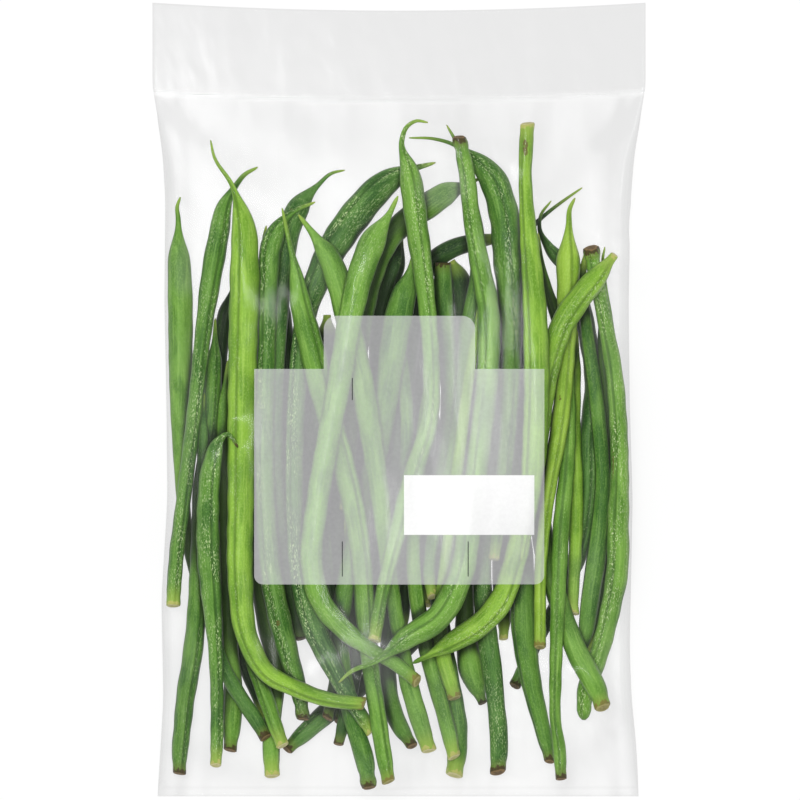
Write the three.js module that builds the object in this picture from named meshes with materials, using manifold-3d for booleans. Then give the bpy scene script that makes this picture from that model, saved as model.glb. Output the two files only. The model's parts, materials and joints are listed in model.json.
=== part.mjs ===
// A bundle of fine green beans in its clear produce bag, lying on its back.
// Millimetres, +X to the bag's right, +Y to its closed header, +Z up.
// The origin is on the surface it lies on, under the middle of the bag.
import * as THREE from 'three';
import { mergeVertices } from 'three/addons/utils/BufferGeometryUtils.js';
import Module from 'manifold-3d';

// The bag's real length sets the size of everything. The pods and the bag's outline are drawn
// in even steps, x to the right and y down from the header.
const BAG_LENGTH = 238.5; // mm
const BAG_TOP = 2; // the step of the header's top edge
const BAG_BOTTOM = 797; // the step of the bottom seal's edge
const STEP = BAG_LENGTH / (BAG_BOTTOM - BAG_TOP); // mm in one step
const MID_X = 399; // the step that is at X = 0
const MID_Y = (BAG_TOP + BAG_BOTTOM) / 2; // the step that is at Y = 0
const SEAM = 100; // where the flat header ends and the pocket starts
const TOP_DIP = 8; // how far the top edge dips in its middle, in steps
const BAG_LEFT = [[2, 152], [90, 152], [100, 154], [120, 157], [150, 162], [200, 165], [300, 164],
  [400, 166], [500, 167], [600, 161], [650, 162], [700, 163], [750, 160], [797, 157]];
const BAG_RIGHT = [[2, 646], [90, 646], [100, 644], [120, 641], [150, 635], [200, 631], [300, 629],
  [400, 630], [500, 633], [600, 631], [650, 630], [700, 632], [750, 637], [797, 639]];

// The bag, in mm. The real film is far thinner; the wall is thick enough to be a solid.
const WALL = 0.6;
const HEADER_THICK = 1.5; // both films and the fold, pressed together
const SEAL_HEIGHT = 2.4; // at the bottom seal
const SIDE_HEIGHT = 5.5; // how high the bag's side folds stand where pods fill it
const FOLD_LINE = 2.2; // how high the outside's lower crease runs round the bag
const INNER_FOLD_LINE = 2.8; // the same crease inside the pocket
const BOTTOM_INSET = 2.2; // how far the underside draws in round the edge
const INSET_REACH = 60; // steps from the seam over which that inset grows
const POCKET_SETBACK = 0.5; // how far the pocket's top end stays below the seam
const THIN_GAP = 0.02; // least height of the pocket where it is flattest
// How high the side folds stand along the bag: [step, mm].
const SIDE_FOLDS = [[SEAM, HEADER_THICK], [180, 0.7 * SIDE_HEIGHT], [260, SIDE_HEIGHT],
  [640, SIDE_HEIGHT], [760, 0.6 * SIDE_HEIGHT], [BAG_BOTTOM, SEAL_HEIGHT]];
const BAG_COLUMNS = 24;
const BAG_ROWS = [BAG_BOTTOM, 794, 778, 758, 738, 718, 698, 678, 658, 638, 618, 598, 578, 558, 538, 518,
  498, 478, 458, 438, 418, 398, 378, 358, 338, 318, 298, 278, 258, 238, 218, 198, 178, 158, 138,
  118, SEAM, 90, 46, BAG_TOP];
const VENT_RADIUS = 2.5;
const VENT_SIDES = 16;
const VENT_AT = [0, 78]; // the punched vent in the back film, mm

// The printed field on the front film, in steps: a tab on top of a wide block.
const FIELD = { left: 254.5, right: 544, top: 369, bottom: 584, corner: 9 };
const TAB = { left: 324, right: 475, top: 316, corner: 13 };
const FIELD_LIFT = 0.3; // mm between the film and the field
const FIELD_THICK = 0.35;
const FIELD_CORNER_STEPS = 4; // straight pieces in one rounded corner

// Pods, in mm.
const POD_SIDES = 7;
const POD_RINGS = 14;
const GAP = 0.34; // kept between two pods, and between a pod and the film
const SIDE_ROOM = 0.1; // more gap between a pod and the bag's side
const LEAST_RADIUS = 0.35; // of the thinnest beak
const SIDES_EASE = 1.05; // a ring of few sides is this much wider at its corners than a round one
const BEAK_POINT = 0.8; // how far a beak's point goes past its last ring, in that ring's radii
const STEM_BULGE = 0.25; // the same for the stem end
const BEND_WEIGHT = 14; // a turn of one radian draws rings as 14 mm of straight pod does
const END_CROWDING = 0.055; // how much closer the rings are near both ends
const END_SHARE = 0.004; // the share of a pod that lies past its first and last rings
const CURVE_POINTS = 240;

// Laying the pods in the bag.
const SPANS = 6; // checked places between two rings
const LAYER_RISE = 1.6; // mm between two layers at the start
const ROUNDS = 900;
const SINK = 0.12; // mm that a pod sinks in the first round
const STIFFNESS = 0.5; // how strongly a ring follows its neighbours at the start
const STIFFNESS_LOST = 0.2; // by the last round
const LIFTED_SHARE = 0.55; // of an overlap goes to the upper pod, the rest to the lower one
const LAST_ROUNDS = 60;

// Stretching the film over the pods.
const FILM_ROUNDS = 500;
const FILM_REACH = 1.03; // how far a grid point looks sideways for pods, in column widths
const FILM_CLEARANCE = 0.05; // mm between the film's inside and the pods' own gap

const COLOURS = {
  bright: 0x8fbd45,
  yellow: 0x9cc843,
  fresh: 0x6da33f,
  mid: 0x57903c,
  dark: 0x3f7434,
  deep: 0x2f5a2d,
};

// Each pod: its layer (a higher one lies on a lower one), its colour, and its centre line from
// the beak to the stem end as [x, y, width], all in steps.
const PODS = {
  pod_01: [3.0, 'fresh', [[180, 197, 2], [177, 206, 5], [178, 220, 8], [178, 236, 15],
    [178, 252, 21], [178, 272, 23], [180, 300, 23], [180, 340, 24], [180, 380, 21],
    [180, 420, 18], [181, 460, 15], [183, 500, 13], [187, 540, 12], [195, 575, 11],
    [199, 600, 9]]],
  pod_02: [5.0, 'mid', [[258, 167, 2], [250, 171, 5], [243, 176, 6], [237, 184, 9], [228, 197, 14],
    [222, 215, 18], [218, 240, 21], [214, 260, 22], [210, 285, 20], [205, 320, 17], [200, 360, 16],
    [196, 400, 15], [191, 440, 15], [186, 480, 15], [181, 520, 15], [176, 560, 15], [173, 606, 14]]],
  pod_03: [6.6, 'bright', [[211, 140, 1], [211, 148, 3], [215, 158, 4], [222, 169, 5],
    [229, 180, 7], [236, 193, 13], [241, 210, 19], [244, 235, 27], [245, 260, 29], [244, 300, 30],
    [243, 350, 29], [242, 400, 28], [241, 460, 27], [241, 540, 26], [241, 590, 25],
    [245, 625, 23], [253, 652, 20], [267, 672, 19], [284, 683, 18], [303, 690, 17],
    [325, 697, 15], [345, 702, 14], [366, 703, 13]]],
  pod_04: [3.9, 'mid', [[345, 170, 1], [332, 173, 4], [320, 183, 8], [308, 197, 16],
    [298, 208, 22], [291, 224, 22], [287, 245, 20], [283, 275, 19], [279, 320, 17],
    [276, 370, 16], [275, 430, 16], [279, 490, 16], [286, 550, 15], [293, 600, 14],
    [298, 622, 13], [301, 640, 11]]],
  pod_05: [5.1, 'mid', [[316, 202, 2], [305, 206, 5], [292, 213, 9], [281, 224, 16],
    [273, 240, 21], [270, 260, 21], [268, 300, 18], [267, 340, 18], [265, 390, 19],
    [264, 450, 20], [266, 520, 21], [272, 580, 22], [280, 620, 23], [289, 655, 20],
    [298, 688, 17], [302, 706, 15], [303, 720, 11]]],
  pod_06: [5.6, 'bright', [[282, 207, 2], [285, 222, 4], [289, 240, 6], [293, 256, 9],
    [296, 275, 15], [300, 300, 20], [305, 320, 23], [311, 345, 25], [318, 375, 25],
    [329, 415, 24], [341, 455, 23], [352, 500, 22], [360, 545, 21], [364, 590, 20],
    [367, 635, 19], [371, 670, 17], [377, 710, 17], [384, 755, 16], [389, 782, 13]]],
  pod_07: [5.5, 'fresh', [[298, 214, 2], [308, 227, 7], [318, 241, 15], [329, 258, 22],
    [338, 281, 24], [346, 310, 24], [352, 340, 24], [359, 370, 24], [367, 410, 23],
    [375, 460, 21], [383, 520, 18], [390, 580, 15], [397, 620, 15], [404, 660, 16],
    [412, 695, 19], [421, 725, 18], [429, 751, 15]]],
  pod_08: [5.2, 'dark', [[437, 162, 2], [425, 166, 7], [411, 170, 15], [395, 176, 23],
    [378, 191, 28], [361, 209, 31], [346, 227, 31], [333, 248, 30], [321, 271, 26],
    [311, 297, 22], [303, 330, 20], [298, 380, 19], [295, 440, 18], [295, 500, 18],
    [297, 550, 18], [303, 590, 21], [314, 625, 24], [327, 654, 22], [340, 680, 18],
    [354, 704, 15], [365, 721, 13], [373, 733, 12]]],
  pod_09: [6.0, 'bright', [[398, 196, 2], [394, 207, 7], [384, 222, 18], [374, 240, 25], [365, 262, 26],
    [357, 288, 25], [351, 315, 24], [345, 350, 24], [338, 390, 23], [330, 430, 22], [321, 480, 22],
    [314, 530, 22], [312, 565, 22], [316, 590, 22], [327, 610, 22], [343, 628, 20], [360, 642, 16],
    [377, 653, 14], [392, 661, 14], [405, 670, 14], [418, 682, 13]]],
  pod_10: [4.0, 'fresh', [[414, 250, 4], [411, 268, 14], [406, 288, 22], [399, 315, 27],
    [394, 345, 26], [389, 380, 24], [382, 425, 22], [372, 475, 21], [360, 525, 20],
    [349, 570, 19], [342, 610, 18], [340, 645, 18], [344, 680, 18], [351, 710, 18],
    [359, 740, 18], [366, 765, 18], [369, 788, 13]]],
  pod_11: [6.4, 'fresh', [[428, 123, 2], [418, 121, 4], [409, 125, 5], [403, 134, 5], [402, 146, 8],
    [407, 162, 17], [411, 182, 23], [414, 205, 24], [418, 235, 22], [423, 265, 20], [426, 300, 18],
    [429, 340, 17], [432, 380, 17], [430, 415, 18], [422, 450, 19], [411, 480, 19], [402, 515, 18],
    [393, 550, 16], [384, 585, 14], [378, 615, 13], [374, 641, 13]]],
  pod_12: [4.6, 'mid', [[408, 138, 1], [424, 138, 2], [440, 140, 4], [454, 145, 6],
    [471, 156, 17], [487, 171, 26], [498, 192, 29], [504, 216, 30], [507, 242, 30],
    [508, 270, 29], [510, 300, 25], [512, 340, 20], [511, 380, 19], [508, 430, 18],
    [503, 480, 16], [498, 525, 14], [494, 560, 11]]],
  pod_13: [6.5, 'fresh', [[339, 682, 2], [346, 674, 4], [360, 668, 6], [376, 660, 9],
    [391, 649, 15], [406, 638, 22], [421, 630, 25], [436, 619, 26], [449, 603, 26],
    [459, 580, 25], [466, 545, 24], [472, 500, 23], [479, 450, 22], [485, 400, 22],
    [489, 350, 22], [488, 310, 22], [482, 275, 21], [475, 240, 18], [470, 205, 17],
    [466, 170, 16], [461, 146, 15], [459, 136, 12]]],
  pod_14: [4.4, 'mid', [[446, 124, 1], [452, 134, 3], [459, 148, 6], [466, 170, 9],
    [472, 205, 12], [478, 240, 13], [478, 275, 15], [472, 310, 18], [467, 345, 19],
    [465, 380, 18], [460, 420, 16], [452, 460, 14], [442, 500, 13], [433, 540, 12],
    [429, 570, 12], [433, 598, 11]]],
  pod_15: [1.4, 'fresh', [[482, 177, 4], [473, 182, 14], [460, 187, 21], [445, 194, 24],
    [430, 204, 26], [411, 217, 25], [395, 231, 23], [381, 255, 21], [371, 285, 19],
    [363, 325, 18], [357, 370, 17], [352, 420, 16], [348, 470, 14], [345, 510, 11]]],
  pod_16: [2.4, 'deep', [[499, 238, 8], [488, 239, 14], [477, 241, 15], [464, 245, 16],
    [449, 250, 18], [433, 261, 18], [421, 283, 17], [414, 325, 16], [406, 375, 17],
    [399, 430, 22], [391, 490, 18], [383, 550, 15], [371, 600, 15], [359, 645, 15],
    [353, 680, 14], [348, 705, 14], [343, 726, 13], [338, 746, 9]]],
  pod_17: [4.1, 'mid', [[443, 266, 13], [443, 290, 16], [444, 320, 17], [448, 360, 16],
    [450, 400, 15], [447, 440, 14], [442, 490, 14], [438, 540, 14], [438, 590, 14],
    [442, 630, 14], [448, 665, 14], [454, 700, 15], [458, 730, 16], [457, 755, 16],
    [454, 776, 14]]],
  pod_18: [6.3, 'bright', [[521, 560, 3], [523, 543, 9], [527, 518, 16], [531, 482, 21], [534, 440, 24],
    [536, 400, 25], [536, 360, 25], [535, 320, 24], [533, 290, 22], [531, 260, 20], [528, 230, 17],
    [526, 200, 14], [525, 175, 13], [526, 145, 14], [527, 124, 14]]],
  pod_19: [1.3, 'deep', [[583, 187, 1], [570, 196, 3], [556, 206, 4], [544, 216, 6], [532, 227, 8],
    [520, 243, 11], [511, 265, 13], [505, 300, 14], [501, 345, 14], [497, 395, 14], [492, 440, 13],
    [487, 485, 12]]],
  pod_20: [2.0, 'dark', [[552, 200, 1], [545, 208, 3], [540, 218, 4], [540, 230, 7],
    [546, 243, 11], [557, 255, 13], [570, 270, 15], [580, 295, 17], [586, 330, 18],
    [592, 370, 17], [594, 398, 15], [590, 435, 20], [590, 470, 20], [588, 505, 19],
    [581, 545, 18], [570, 578, 15], [556, 603, 13], [545, 627, 12], [534, 648, 12],
    [524, 669, 12], [514, 688, 11]]],
  pod_21: [5.7, 'fresh', [[538, 232, 2], [540, 244, 5], [541, 258, 7], [544, 275, 9],
    [549, 295, 11], [557, 318, 13], [563, 345, 13], [567, 370, 14], [569, 410, 14],
    [568, 450, 15], [565, 490, 16], [561, 530, 17], [559, 575, 16], [557, 620, 14],
    [556, 665, 13], [555, 695, 12], [555, 716, 11], [559, 745, 13], [561, 780, 11]]],
  pod_22: [5.9, 'yellow', [[575, 198, 2], [570, 208, 5], [569, 221, 9], [569, 238, 18], [568, 260, 24],
    [568, 300, 22], [567, 340, 18], [565, 370, 17], [563, 400, 18], [558, 435, 18], [552, 470, 15],
    [547, 505, 13], [542, 545, 13], [540, 590, 12], [540, 625, 12], [540, 648, 12]]],
  pod_23: [6.1, 'bright', [[412, 663, 2], [422, 659, 8], [437, 650, 17], [455, 640, 21],
    [471, 631, 23], [488, 617, 24], [502, 598, 24], [512, 570, 23], [520, 535, 22],
    [528, 495, 22], [536, 450, 22], [543, 400, 21], [551, 360, 21], [560, 330, 24],
    [571, 309, 25], [583, 294, 24], [596, 278, 21], [606, 265, 15], [615, 254, 7]]],
  pod_24: [4.7, 'fresh', [[584, 720, 3], [584, 708, 13], [586, 692, 19], [593, 670, 20],
    [602, 645, 19], [610, 612, 20], [617, 575, 22], [620, 540, 23], [621, 500, 20],
    [621, 460, 18], [620, 425, 18], [616, 390, 18], [611, 355, 17], [605, 322, 15],
    [599, 292, 13], [594, 268, 13], [591, 247, 11]]],
  pod_25: [2.3, 'fresh', [[605, 247, 1], [603, 258, 4], [604, 275, 6], [606, 300, 8],
    [610, 335, 11], [615, 370, 12], [619, 410, 13], [622, 450, 14], [622, 490, 13],
    [620, 530, 12], [616, 575, 9]]],
  pod_26: [3.7, 'mid', [[580, 668, 3], [585, 645, 13], [588, 616, 16], [594, 575, 18],
    [600, 530, 17], [603, 480, 14], [600, 435, 14], [596, 395, 14], [591, 360, 13],
    [586, 325, 12], [583, 295, 9], [583, 270, 7], [588, 252, 6]]],
  pod_27: [2.2, 'dark', [[599, 300, 3], [602, 330, 9], [605, 370, 12], [608, 410, 13], [610, 455, 13],
    [609, 500, 13], [606, 545, 13], [602, 585, 13], [597, 620, 13], [592, 655, 11]]],
  pod_28: [3.05, 'dark', [[215, 318, 3], [215, 335, 10], [214, 368, 15], [213, 390, 16],
    [211, 420, 16], [208, 450, 15], [202, 485, 18], [199, 525, 15], [198, 565, 16],
    [197, 605, 18], [193, 650, 19], [185, 700, 18], [181, 740, 16], [179, 760, 15],
    [179, 774, 12]]],
  pod_29: [3.1, 'mid', [[228, 360, 2], [226, 378, 6], [224, 400, 10], [223, 430, 12],
    [224, 480, 13], [226, 540, 13], [228, 600, 13], [230, 645, 14], [233, 685, 16],
    [232, 718, 18], [230, 751, 11]]],
  pod_30: [1.0, 'deep', [[238, 274, 5], [232, 292, 13], [225, 316, 17], [221, 345, 15],
    [219, 390, 14], [219, 450, 13], [221, 510, 13], [225, 570, 13], [229, 610, 14],
    [237, 645, 14], [248, 675, 13], [258, 700, 11], [266, 722, 8]]],
  pod_31: [3.3, 'dark', [[204, 392, 2], [203, 410, 8], [203, 440, 11], [203, 480, 12],
    [205, 530, 13], [209, 580, 12], [213, 630, 12], [219, 655, 13], [227, 673, 14],
    [236, 690, 15], [245, 704, 15], [254, 717, 15], [266, 738, 13]]],
  pod_32: [3.4, 'fresh', [[253, 330, 2], [251, 355, 9], [249, 400, 12], [246, 450, 13],
    [244, 510, 13], [243, 570, 14], [245, 620, 14], [251, 655, 15], [261, 684, 15],
    [270, 710, 15], [276, 728, 14], [283, 746, 12]]],
  pod_33: [1.2, 'dark', [[261, 300, 2], [259, 330, 10], [257, 380, 13], [256, 440, 13],
    [257, 500, 13], [260, 560, 16], [265, 605, 23], [274, 645, 20], [276, 685, 15],
    [272, 720, 15], [271, 750, 15], [272, 777, 13]]],
  pod_34: [6.8, 'fresh', [[238, 447, 3], [234, 440, 4], [228, 434, 6], [220, 440, 12], [214, 456, 18],
    [210, 485, 21], [208, 520, 23], [209, 560, 23], [212, 600, 20], [215, 640, 15], [217, 690, 13],
    [217, 740, 13], [216, 766, 11]]],
  pod_35: [2.5, 'mid', [[309, 372, 2], [313, 395, 8], [319, 440, 11], [323, 500, 12],
    [326, 560, 13], [332, 610, 13], [336, 650, 12], [335, 680, 12], [331, 702, 12],
    [327, 719, 11]]],
  pod_36: [1.1, 'dark', [[458, 440, 2], [461, 465, 9], [463, 510, 12], [458, 560, 13],
    [445, 600, 14], [425, 630, 15], [400, 655, 16], [374, 676, 17], [350, 695, 20],
    [327, 713, 21], [306, 732, 18], [286, 750, 12]]],
  pod_37: [3.5, 'mid', [[393, 300, 2], [397, 325, 9], [403, 370, 13], [407, 420, 14],
    [406, 470, 14], [401, 525, 14], [394, 580, 14], [389, 625, 15], [388, 665, 17],
    [390, 700, 18], [398, 723, 19], [413, 747, 11]]],
  pod_38: [4.3, 'fresh', [[437, 330, 2], [433, 355, 9], [428, 400, 13], [421, 450, 14],
    [415, 500, 14], [413, 550, 14], [417, 600, 15], [426, 645, 16], [436, 685, 16],
    [445, 717, 15], [451, 742, 15], [454, 758, 12]]],
  pod_39: [4.8, 'bright', [[479, 305, 2], [476, 330, 8], [470, 370, 11], [463, 420, 12],
    [456, 480, 13], [449, 540, 13], [443, 590, 13], [440, 630, 14], [444, 660, 15],
    [450, 681, 15], [455, 698, 13]]],
  pod_40: [3.6, 'dark', [[486, 372, 2], [485, 395, 9], [481, 440, 12], [475, 500, 13],
    [469, 550, 14], [465, 600, 18], [467, 640, 24], [472, 672, 26], [479, 692, 18],
    [483, 704, 8]]],
  pod_41: [4.5, 'dark', [[503, 372, 2], [500, 398, 9], [495, 440, 13], [488, 500, 15],
    [483, 550, 16], [483, 595, 18], [487, 635, 20], [492, 668, 19], [496, 705, 17],
    [499, 742, 18], [498, 773, 15]]],
  pod_42: [3.8, 'bright', [[577, 330, 2], [577, 352, 8], [575, 395, 12], [574, 440, 14], [576, 480, 14],
    [576, 520, 14], [575, 560, 13], [573, 595, 12], [574, 614, 10]]],
  pod_43: [5.3, 'fresh', [[531, 310, 2], [533, 335, 8], [536, 390, 11], [538, 445, 12],
    [540, 495, 14], [543, 540, 18], [552, 580, 17], [565, 620, 16], [576, 650, 18],
    [588, 673, 18], [599, 695, 16], [603, 708, 13]]],
  pod_44: [4.2, 'mid', [[501, 372, 2], [503, 398, 9], [508, 440, 15], [514, 490, 18],
    [520, 545, 21], [523, 595, 22], [525, 640, 21], [532, 685, 17], [541, 722, 14],
    [547, 747, 12], [550, 763, 8]]],
  pod_45: [2.1, 'mid', [[345, 520, 3], [347, 545, 12], [350, 590, 14], [351, 630, 15], [349, 665, 15],
    [344, 695, 15], [340, 722, 12]]],
  pod_46: [0.9, 'deep', [[327, 317, 7], [327, 330, 17], [325, 350, 21], [319, 380, 24],
    [313, 420, 22], [310, 460, 16], [309, 500, 16], [312, 540, 15], [318, 580, 14],
    [325, 612, 8]]],
  pod_47: [1.5, 'deep', [[266, 226, 3], [264, 240, 13], [269, 270, 18], [279, 310, 22],
    [285, 350, 20], [288, 390, 18], [289, 430, 17], [287, 470, 16], [285, 520, 15],
    [285, 570, 15], [288, 610, 14], [291, 642, 8]]],
  pod_48: [0.8, 'deep', [[351, 396, 6], [351, 420, 16], [348, 460, 20], [340, 500, 18],
    [337, 540, 18], [338, 580, 16], [343, 620, 14], [350, 652, 8]]],
  pod_49: [0.7, 'deep', [[403, 226, 4], [400, 245, 20], [391, 275, 23], [381, 310, 18],
    [378, 350, 18], [376, 390, 16], [369, 440, 20], [367, 480, 18], [371, 520, 15],
    [375, 560, 14], [380, 600, 8]]],
  pod_50: [0.6, 'deep', [[425, 296, 5], [420, 325, 12], [417, 370, 15], [416, 420, 14],
    [412, 470, 13], [407, 520, 14], [405, 570, 15], [404, 610, 13], [402, 636, 7]]],
  pod_51: [0.5, 'deep', [[523, 300, 6], [521, 330, 13], [520, 380, 14], [518, 430, 14],
    [515, 475, 15], [509, 515, 15], [501, 555, 15], [501, 590, 15], [504, 618, 14],
    [504, 640, 8]]],
  pod_52: [0.4, 'deep', [[452, 264, 8], [459, 276, 15], [463, 300, 23], [464, 340, 23],
    [465, 380, 20], [461, 430, 22], [454, 480, 16], [447, 530, 10]]],
  pod_53: [0.3, 'deep', [[424, 392, 7], [430, 415, 13], [434, 450, 16], [432, 490, 16],
    [427, 530, 15], [424, 570, 14], [426, 606, 8]]],
};

// Shapes in steps turned into millimetres.
const toX = (x) => (x - MID_X) * STEP;
const toY = (y) => (MID_Y - y) * STEP;

function along(table, at) {
  let k = 1;
  while (k < table.length - 1 && table[k][0] < at) k += 1;
  const [a, u] = table[k - 1];
  const [b, v] = table[k];
  const f = Math.min(1, Math.max(0, (at - a) / (b - a)));
  return u + (v - u) * f;
}

// A pod's centre line in plan, cut into rings that are closer together where it bends.
function ringsOf([layer, colour, line]) {
  const room = (WALL + GAP + SIDE_ROOM) / STEP;
  const kept = line.map(([x, y, w]) => {
    const low = along(BAG_LEFT, y) + room + w / 2;
    const high = along(BAG_RIGHT, y) - room - w / 2;
    return [Math.min(high, Math.max(low, x)), y, w];
  });
  const curve = new THREE.CatmullRomCurve3(kept.map(([x, y]) => new THREE.Vector3(toX(x), toY(y), 0)));
  const points = curve.getPoints(CURVE_POINTS);
  const measure = [0];
  for (let i = 1; i <= CURVE_POINTS; i += 1) {
    const step = points[i].distanceTo(points[i - 1]);
    let turn = 0;
    if (i < CURVE_POINTS) {
      const a = points[i].clone().sub(points[i - 1]);
      const b = points[i + 1].clone().sub(points[i]);
      turn = a.angleTo(b);
    }
    measure.push(measure[i - 1] + step + BEND_WEIGHT * turn);
  }
  const whole = measure[CURVE_POINTS];
  const rings = [];
  for (let k = 0; k < POD_RINGS; k += 1) {
    const even = k / (POD_RINGS - 1);
    const crowded = even - END_CROWDING * Math.sin(2 * Math.PI * even);
    const share = END_SHARE + (1 - 2 * END_SHARE) * crowded;
    let i = 1;
    while (i < CURVE_POINTS && measure[i] < share * whole) i += 1;
    const f = (share * whole - measure[i - 1]) / (measure[i] - measure[i - 1]);
    const t = (i - 1 + f) / CURVE_POINTS;
    const p = curve.getPoint(t);
    const at = t * (kept.length - 1);
    const j = Math.min(kept.length - 2, Math.floor(at));
    const w = kept[j][2] + (kept[j + 1][2] - kept[j][2]) * (at - j);
    rings.push({ x: p.x, y: p.y, z: 0, r: Math.max(LEAST_RADIUS, (w * SIDES_EASE * STEP) / 2) });
  }
  return { layer, colour, rings };
}

// The pods are laid in the bag: they sink under their own weight, bend only gently, and stop
// on the back film and on each other, in the order of their layers.
function settle(pods) {
  pods.forEach((pod) => {
    pod.dense = [];
    for (let k = 0; k < pod.rings.length - 1; k += 1) {
      for (let s = 0; s < SPANS; s += 1) {
        const f = s / SPANS;
        const a = pod.rings[k];
        const b = pod.rings[k + 1];
        pod.dense.push({
          pod, k, f,
          x: a.x + (b.x - a.x) * f,
          y: a.y + (b.y - a.y) * f,
          r: a.r + (b.r - a.r) * f,
        });
      }
    }
  });
  const touching = [];
  pods.forEach((low) => pods.forEach((high) => {
    if (low.layer >= high.layer) return;
    low.dense.forEach((a) => high.dense.forEach((b) => {
      const reach = a.r + b.r + GAP;
      const flat = (a.x - b.x) ** 2 + (a.y - b.y) ** 2;
      if (flat < reach * reach) touching.push([a, b, Math.sqrt(reach * reach - flat)]);
    }));
  }));
  const height = (s) => s.pod.rings[s.k].z * (1 - s.f) + s.pod.rings[s.k + 1].z * s.f;
  const lift = (s, by) => {
    const sum = (1 - s.f) ** 2 + s.f ** 2;
    s.pod.rings[s.k].z += (by * (1 - s.f)) / sum;
    s.pod.rings[s.k + 1].z += (by * s.f) / sum;
  };
  const floor = (pod) => pod.rings.forEach((ring) => {
    ring.z = Math.max(ring.z, WALL + GAP + ring.r);
  });
  pods.forEach((pod) => pod.rings.forEach((ring) => {
    ring.z = WALL + GAP + ring.r + LAYER_RISE * pod.layer;
  }));
  for (let round = 0; round < ROUNDS; round += 1) {
    const late = round / ROUNDS;
    const weight = SINK * (1 - late);
    const stiff = STIFFNESS - STIFFNESS_LOST * late;
    pods.forEach((pod) => {
      const z = pod.rings.map((ring) => ring.z);
      const n = z.length;
      pod.rings.forEach((ring, k) => {
        let wanted;
        if (k === 0) wanted = z[1];
        else if (k === n - 1) wanted = z[n - 2];
        else wanted = (z[k - 1] + z[k + 1]) / 2;
        ring.z += stiff * (wanted - z[k]) - weight;
      });
      floor(pod);
    });
    touching.forEach(([a, b, need]) => {
      const short = need - (height(b) - height(a));
      if (short > 0) {
        lift(b, short * LIFTED_SHARE);
        lift(a, -short * (1 - LIFTED_SHARE));
      }
    });
    pods.forEach(floor);
  }
  const upward = [...pods].sort((a, b) => a.layer - b.layer);
  upward.forEach((pod) => {
    const under = touching.filter(([, b]) => b.pod === pod);
    for (let round = 0; round < LAST_ROUNDS; round += 1) {
      under.forEach(([a, b, need]) => {
        const short = need - (height(b) - height(a));
        if (short > 0) lift(b, short);
      });
    }
  });
}

// One pod: a turned profile of rings, each moved onto its place on the centre line.
function podGeometry({ rings }) {
  const n = rings.length;
  const centres = rings.map(({ x, y, z }) => new THREE.Vector3(x, y, z));
  const ahead = (k) => centres[Math.min(n - 1, k + 1)].clone().sub(centres[Math.max(0, k - 1)]).normalize();
  const profile = [new THREE.Vector2(0, 0)];
  rings.forEach(({ r }, k) => profile.push(new THREE.Vector2(r, k + 1)));
  profile.push(new THREE.Vector2(0, n + 1));
  const geometry = new THREE.LatheGeometry(profile, POD_SIDES);
  const place = geometry.attributes.position;
  const up = new THREE.Vector3(0, 0, 1);
  for (let i = 0; i < place.count; i += 1) {
    const station = Math.round(place.getY(i)) - 1;
    const k = Math.min(n - 1, Math.max(0, station));
    const tangent = ahead(k);
    const side = tangent.clone().cross(up).normalize();
    const top = side.clone().cross(tangent).normalize();
    const p = centres[k].clone();
    p.addScaledVector(side, place.getX(i));
    p.addScaledVector(top, place.getZ(i));
    if (station < 0) p.addScaledVector(tangent, -BEAK_POINT * rings[0].r);
    if (station >= n) p.addScaledVector(tangent, STEM_BULGE * rings[n - 1].r);
    place.setXYZ(i, p.x, p.y, p.z);
  }
  return geometry;
}

// The front film: a sheet stretched over the pods, held at the seam, the side folds and the
// bottom seal. Heights are kept at the crossings of the bag's columns and rows.
const column = (i, y) => {
  const left = toX(along(BAG_LEFT, y));
  const right = toX(along(BAG_RIGHT, y));
  return left + ((right - left) * i) / BAG_COLUMNS;
};

function filmHeights(pods) {
  const last = BAG_ROWS.length - 1;
  const seamRow = BAG_ROWS.indexOf(SEAM);
  const least = BAG_ROWS.map((row) => new Array(BAG_COLUMNS + 1).fill(HEADER_THICK));
  const dense = pods.flatMap((pod) => pod.dense);
  BAG_ROWS.forEach((row, j) => {
    if (j >= seamRow) return;
    const y = toY(row);
    const below = toY(BAG_ROWS[Math.max(0, j - 1)]);
    const above = toY(BAG_ROWS[j + 1]);
    for (let i = 0; i <= BAG_COLUMNS; i += 1) {
      const x = column(i, row);
      const reachX = (column(1, row) - column(0, row)) * FILM_REACH;
      dense.forEach((s) => {
        const dx = Math.max(0, Math.abs(s.x - x) - reachX);
        const dy = Math.max(0, s.y - above, below - s.y);
        const ball = s.r + GAP;
        const flat = dx * dx + dy * dy;
        if (flat >= ball * ball) return;
        const a = s.pod.rings[s.k];
        const b = s.pod.rings[s.k + 1];
        const z = a.z + (b.z - a.z) * s.f;
        const top = z + Math.sqrt(ball * ball - flat) + WALL + FILM_CLEARANCE;
        least[j][i] = Math.max(least[j][i], top);
      });
    }
  });
  const height = least.map((row) => [...row]);
  for (let round = 0; round < FILM_ROUNDS; round += 1) {
    for (let j = 0; j < seamRow; j += 1) {
      for (let i = 0; i <= BAG_COLUMNS; i += 1) {
        let free;
        if (i === 0 || i === BAG_COLUMNS) free = along(SIDE_FOLDS, BAG_ROWS[j]);
        else if (j === 0) free = SEAL_HEIGHT;
        else {
          free = (height[j - 1][i] + height[j + 1][i] + height[j][i - 1] + height[j][i + 1]) / 4;
        }
        height[j][i] = Math.max(least[j][i], free);
      }
    }
  }
  for (let j = seamRow; j <= last; j += 1) height[j].fill(HEADER_THICK);
  return height;
}

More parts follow.
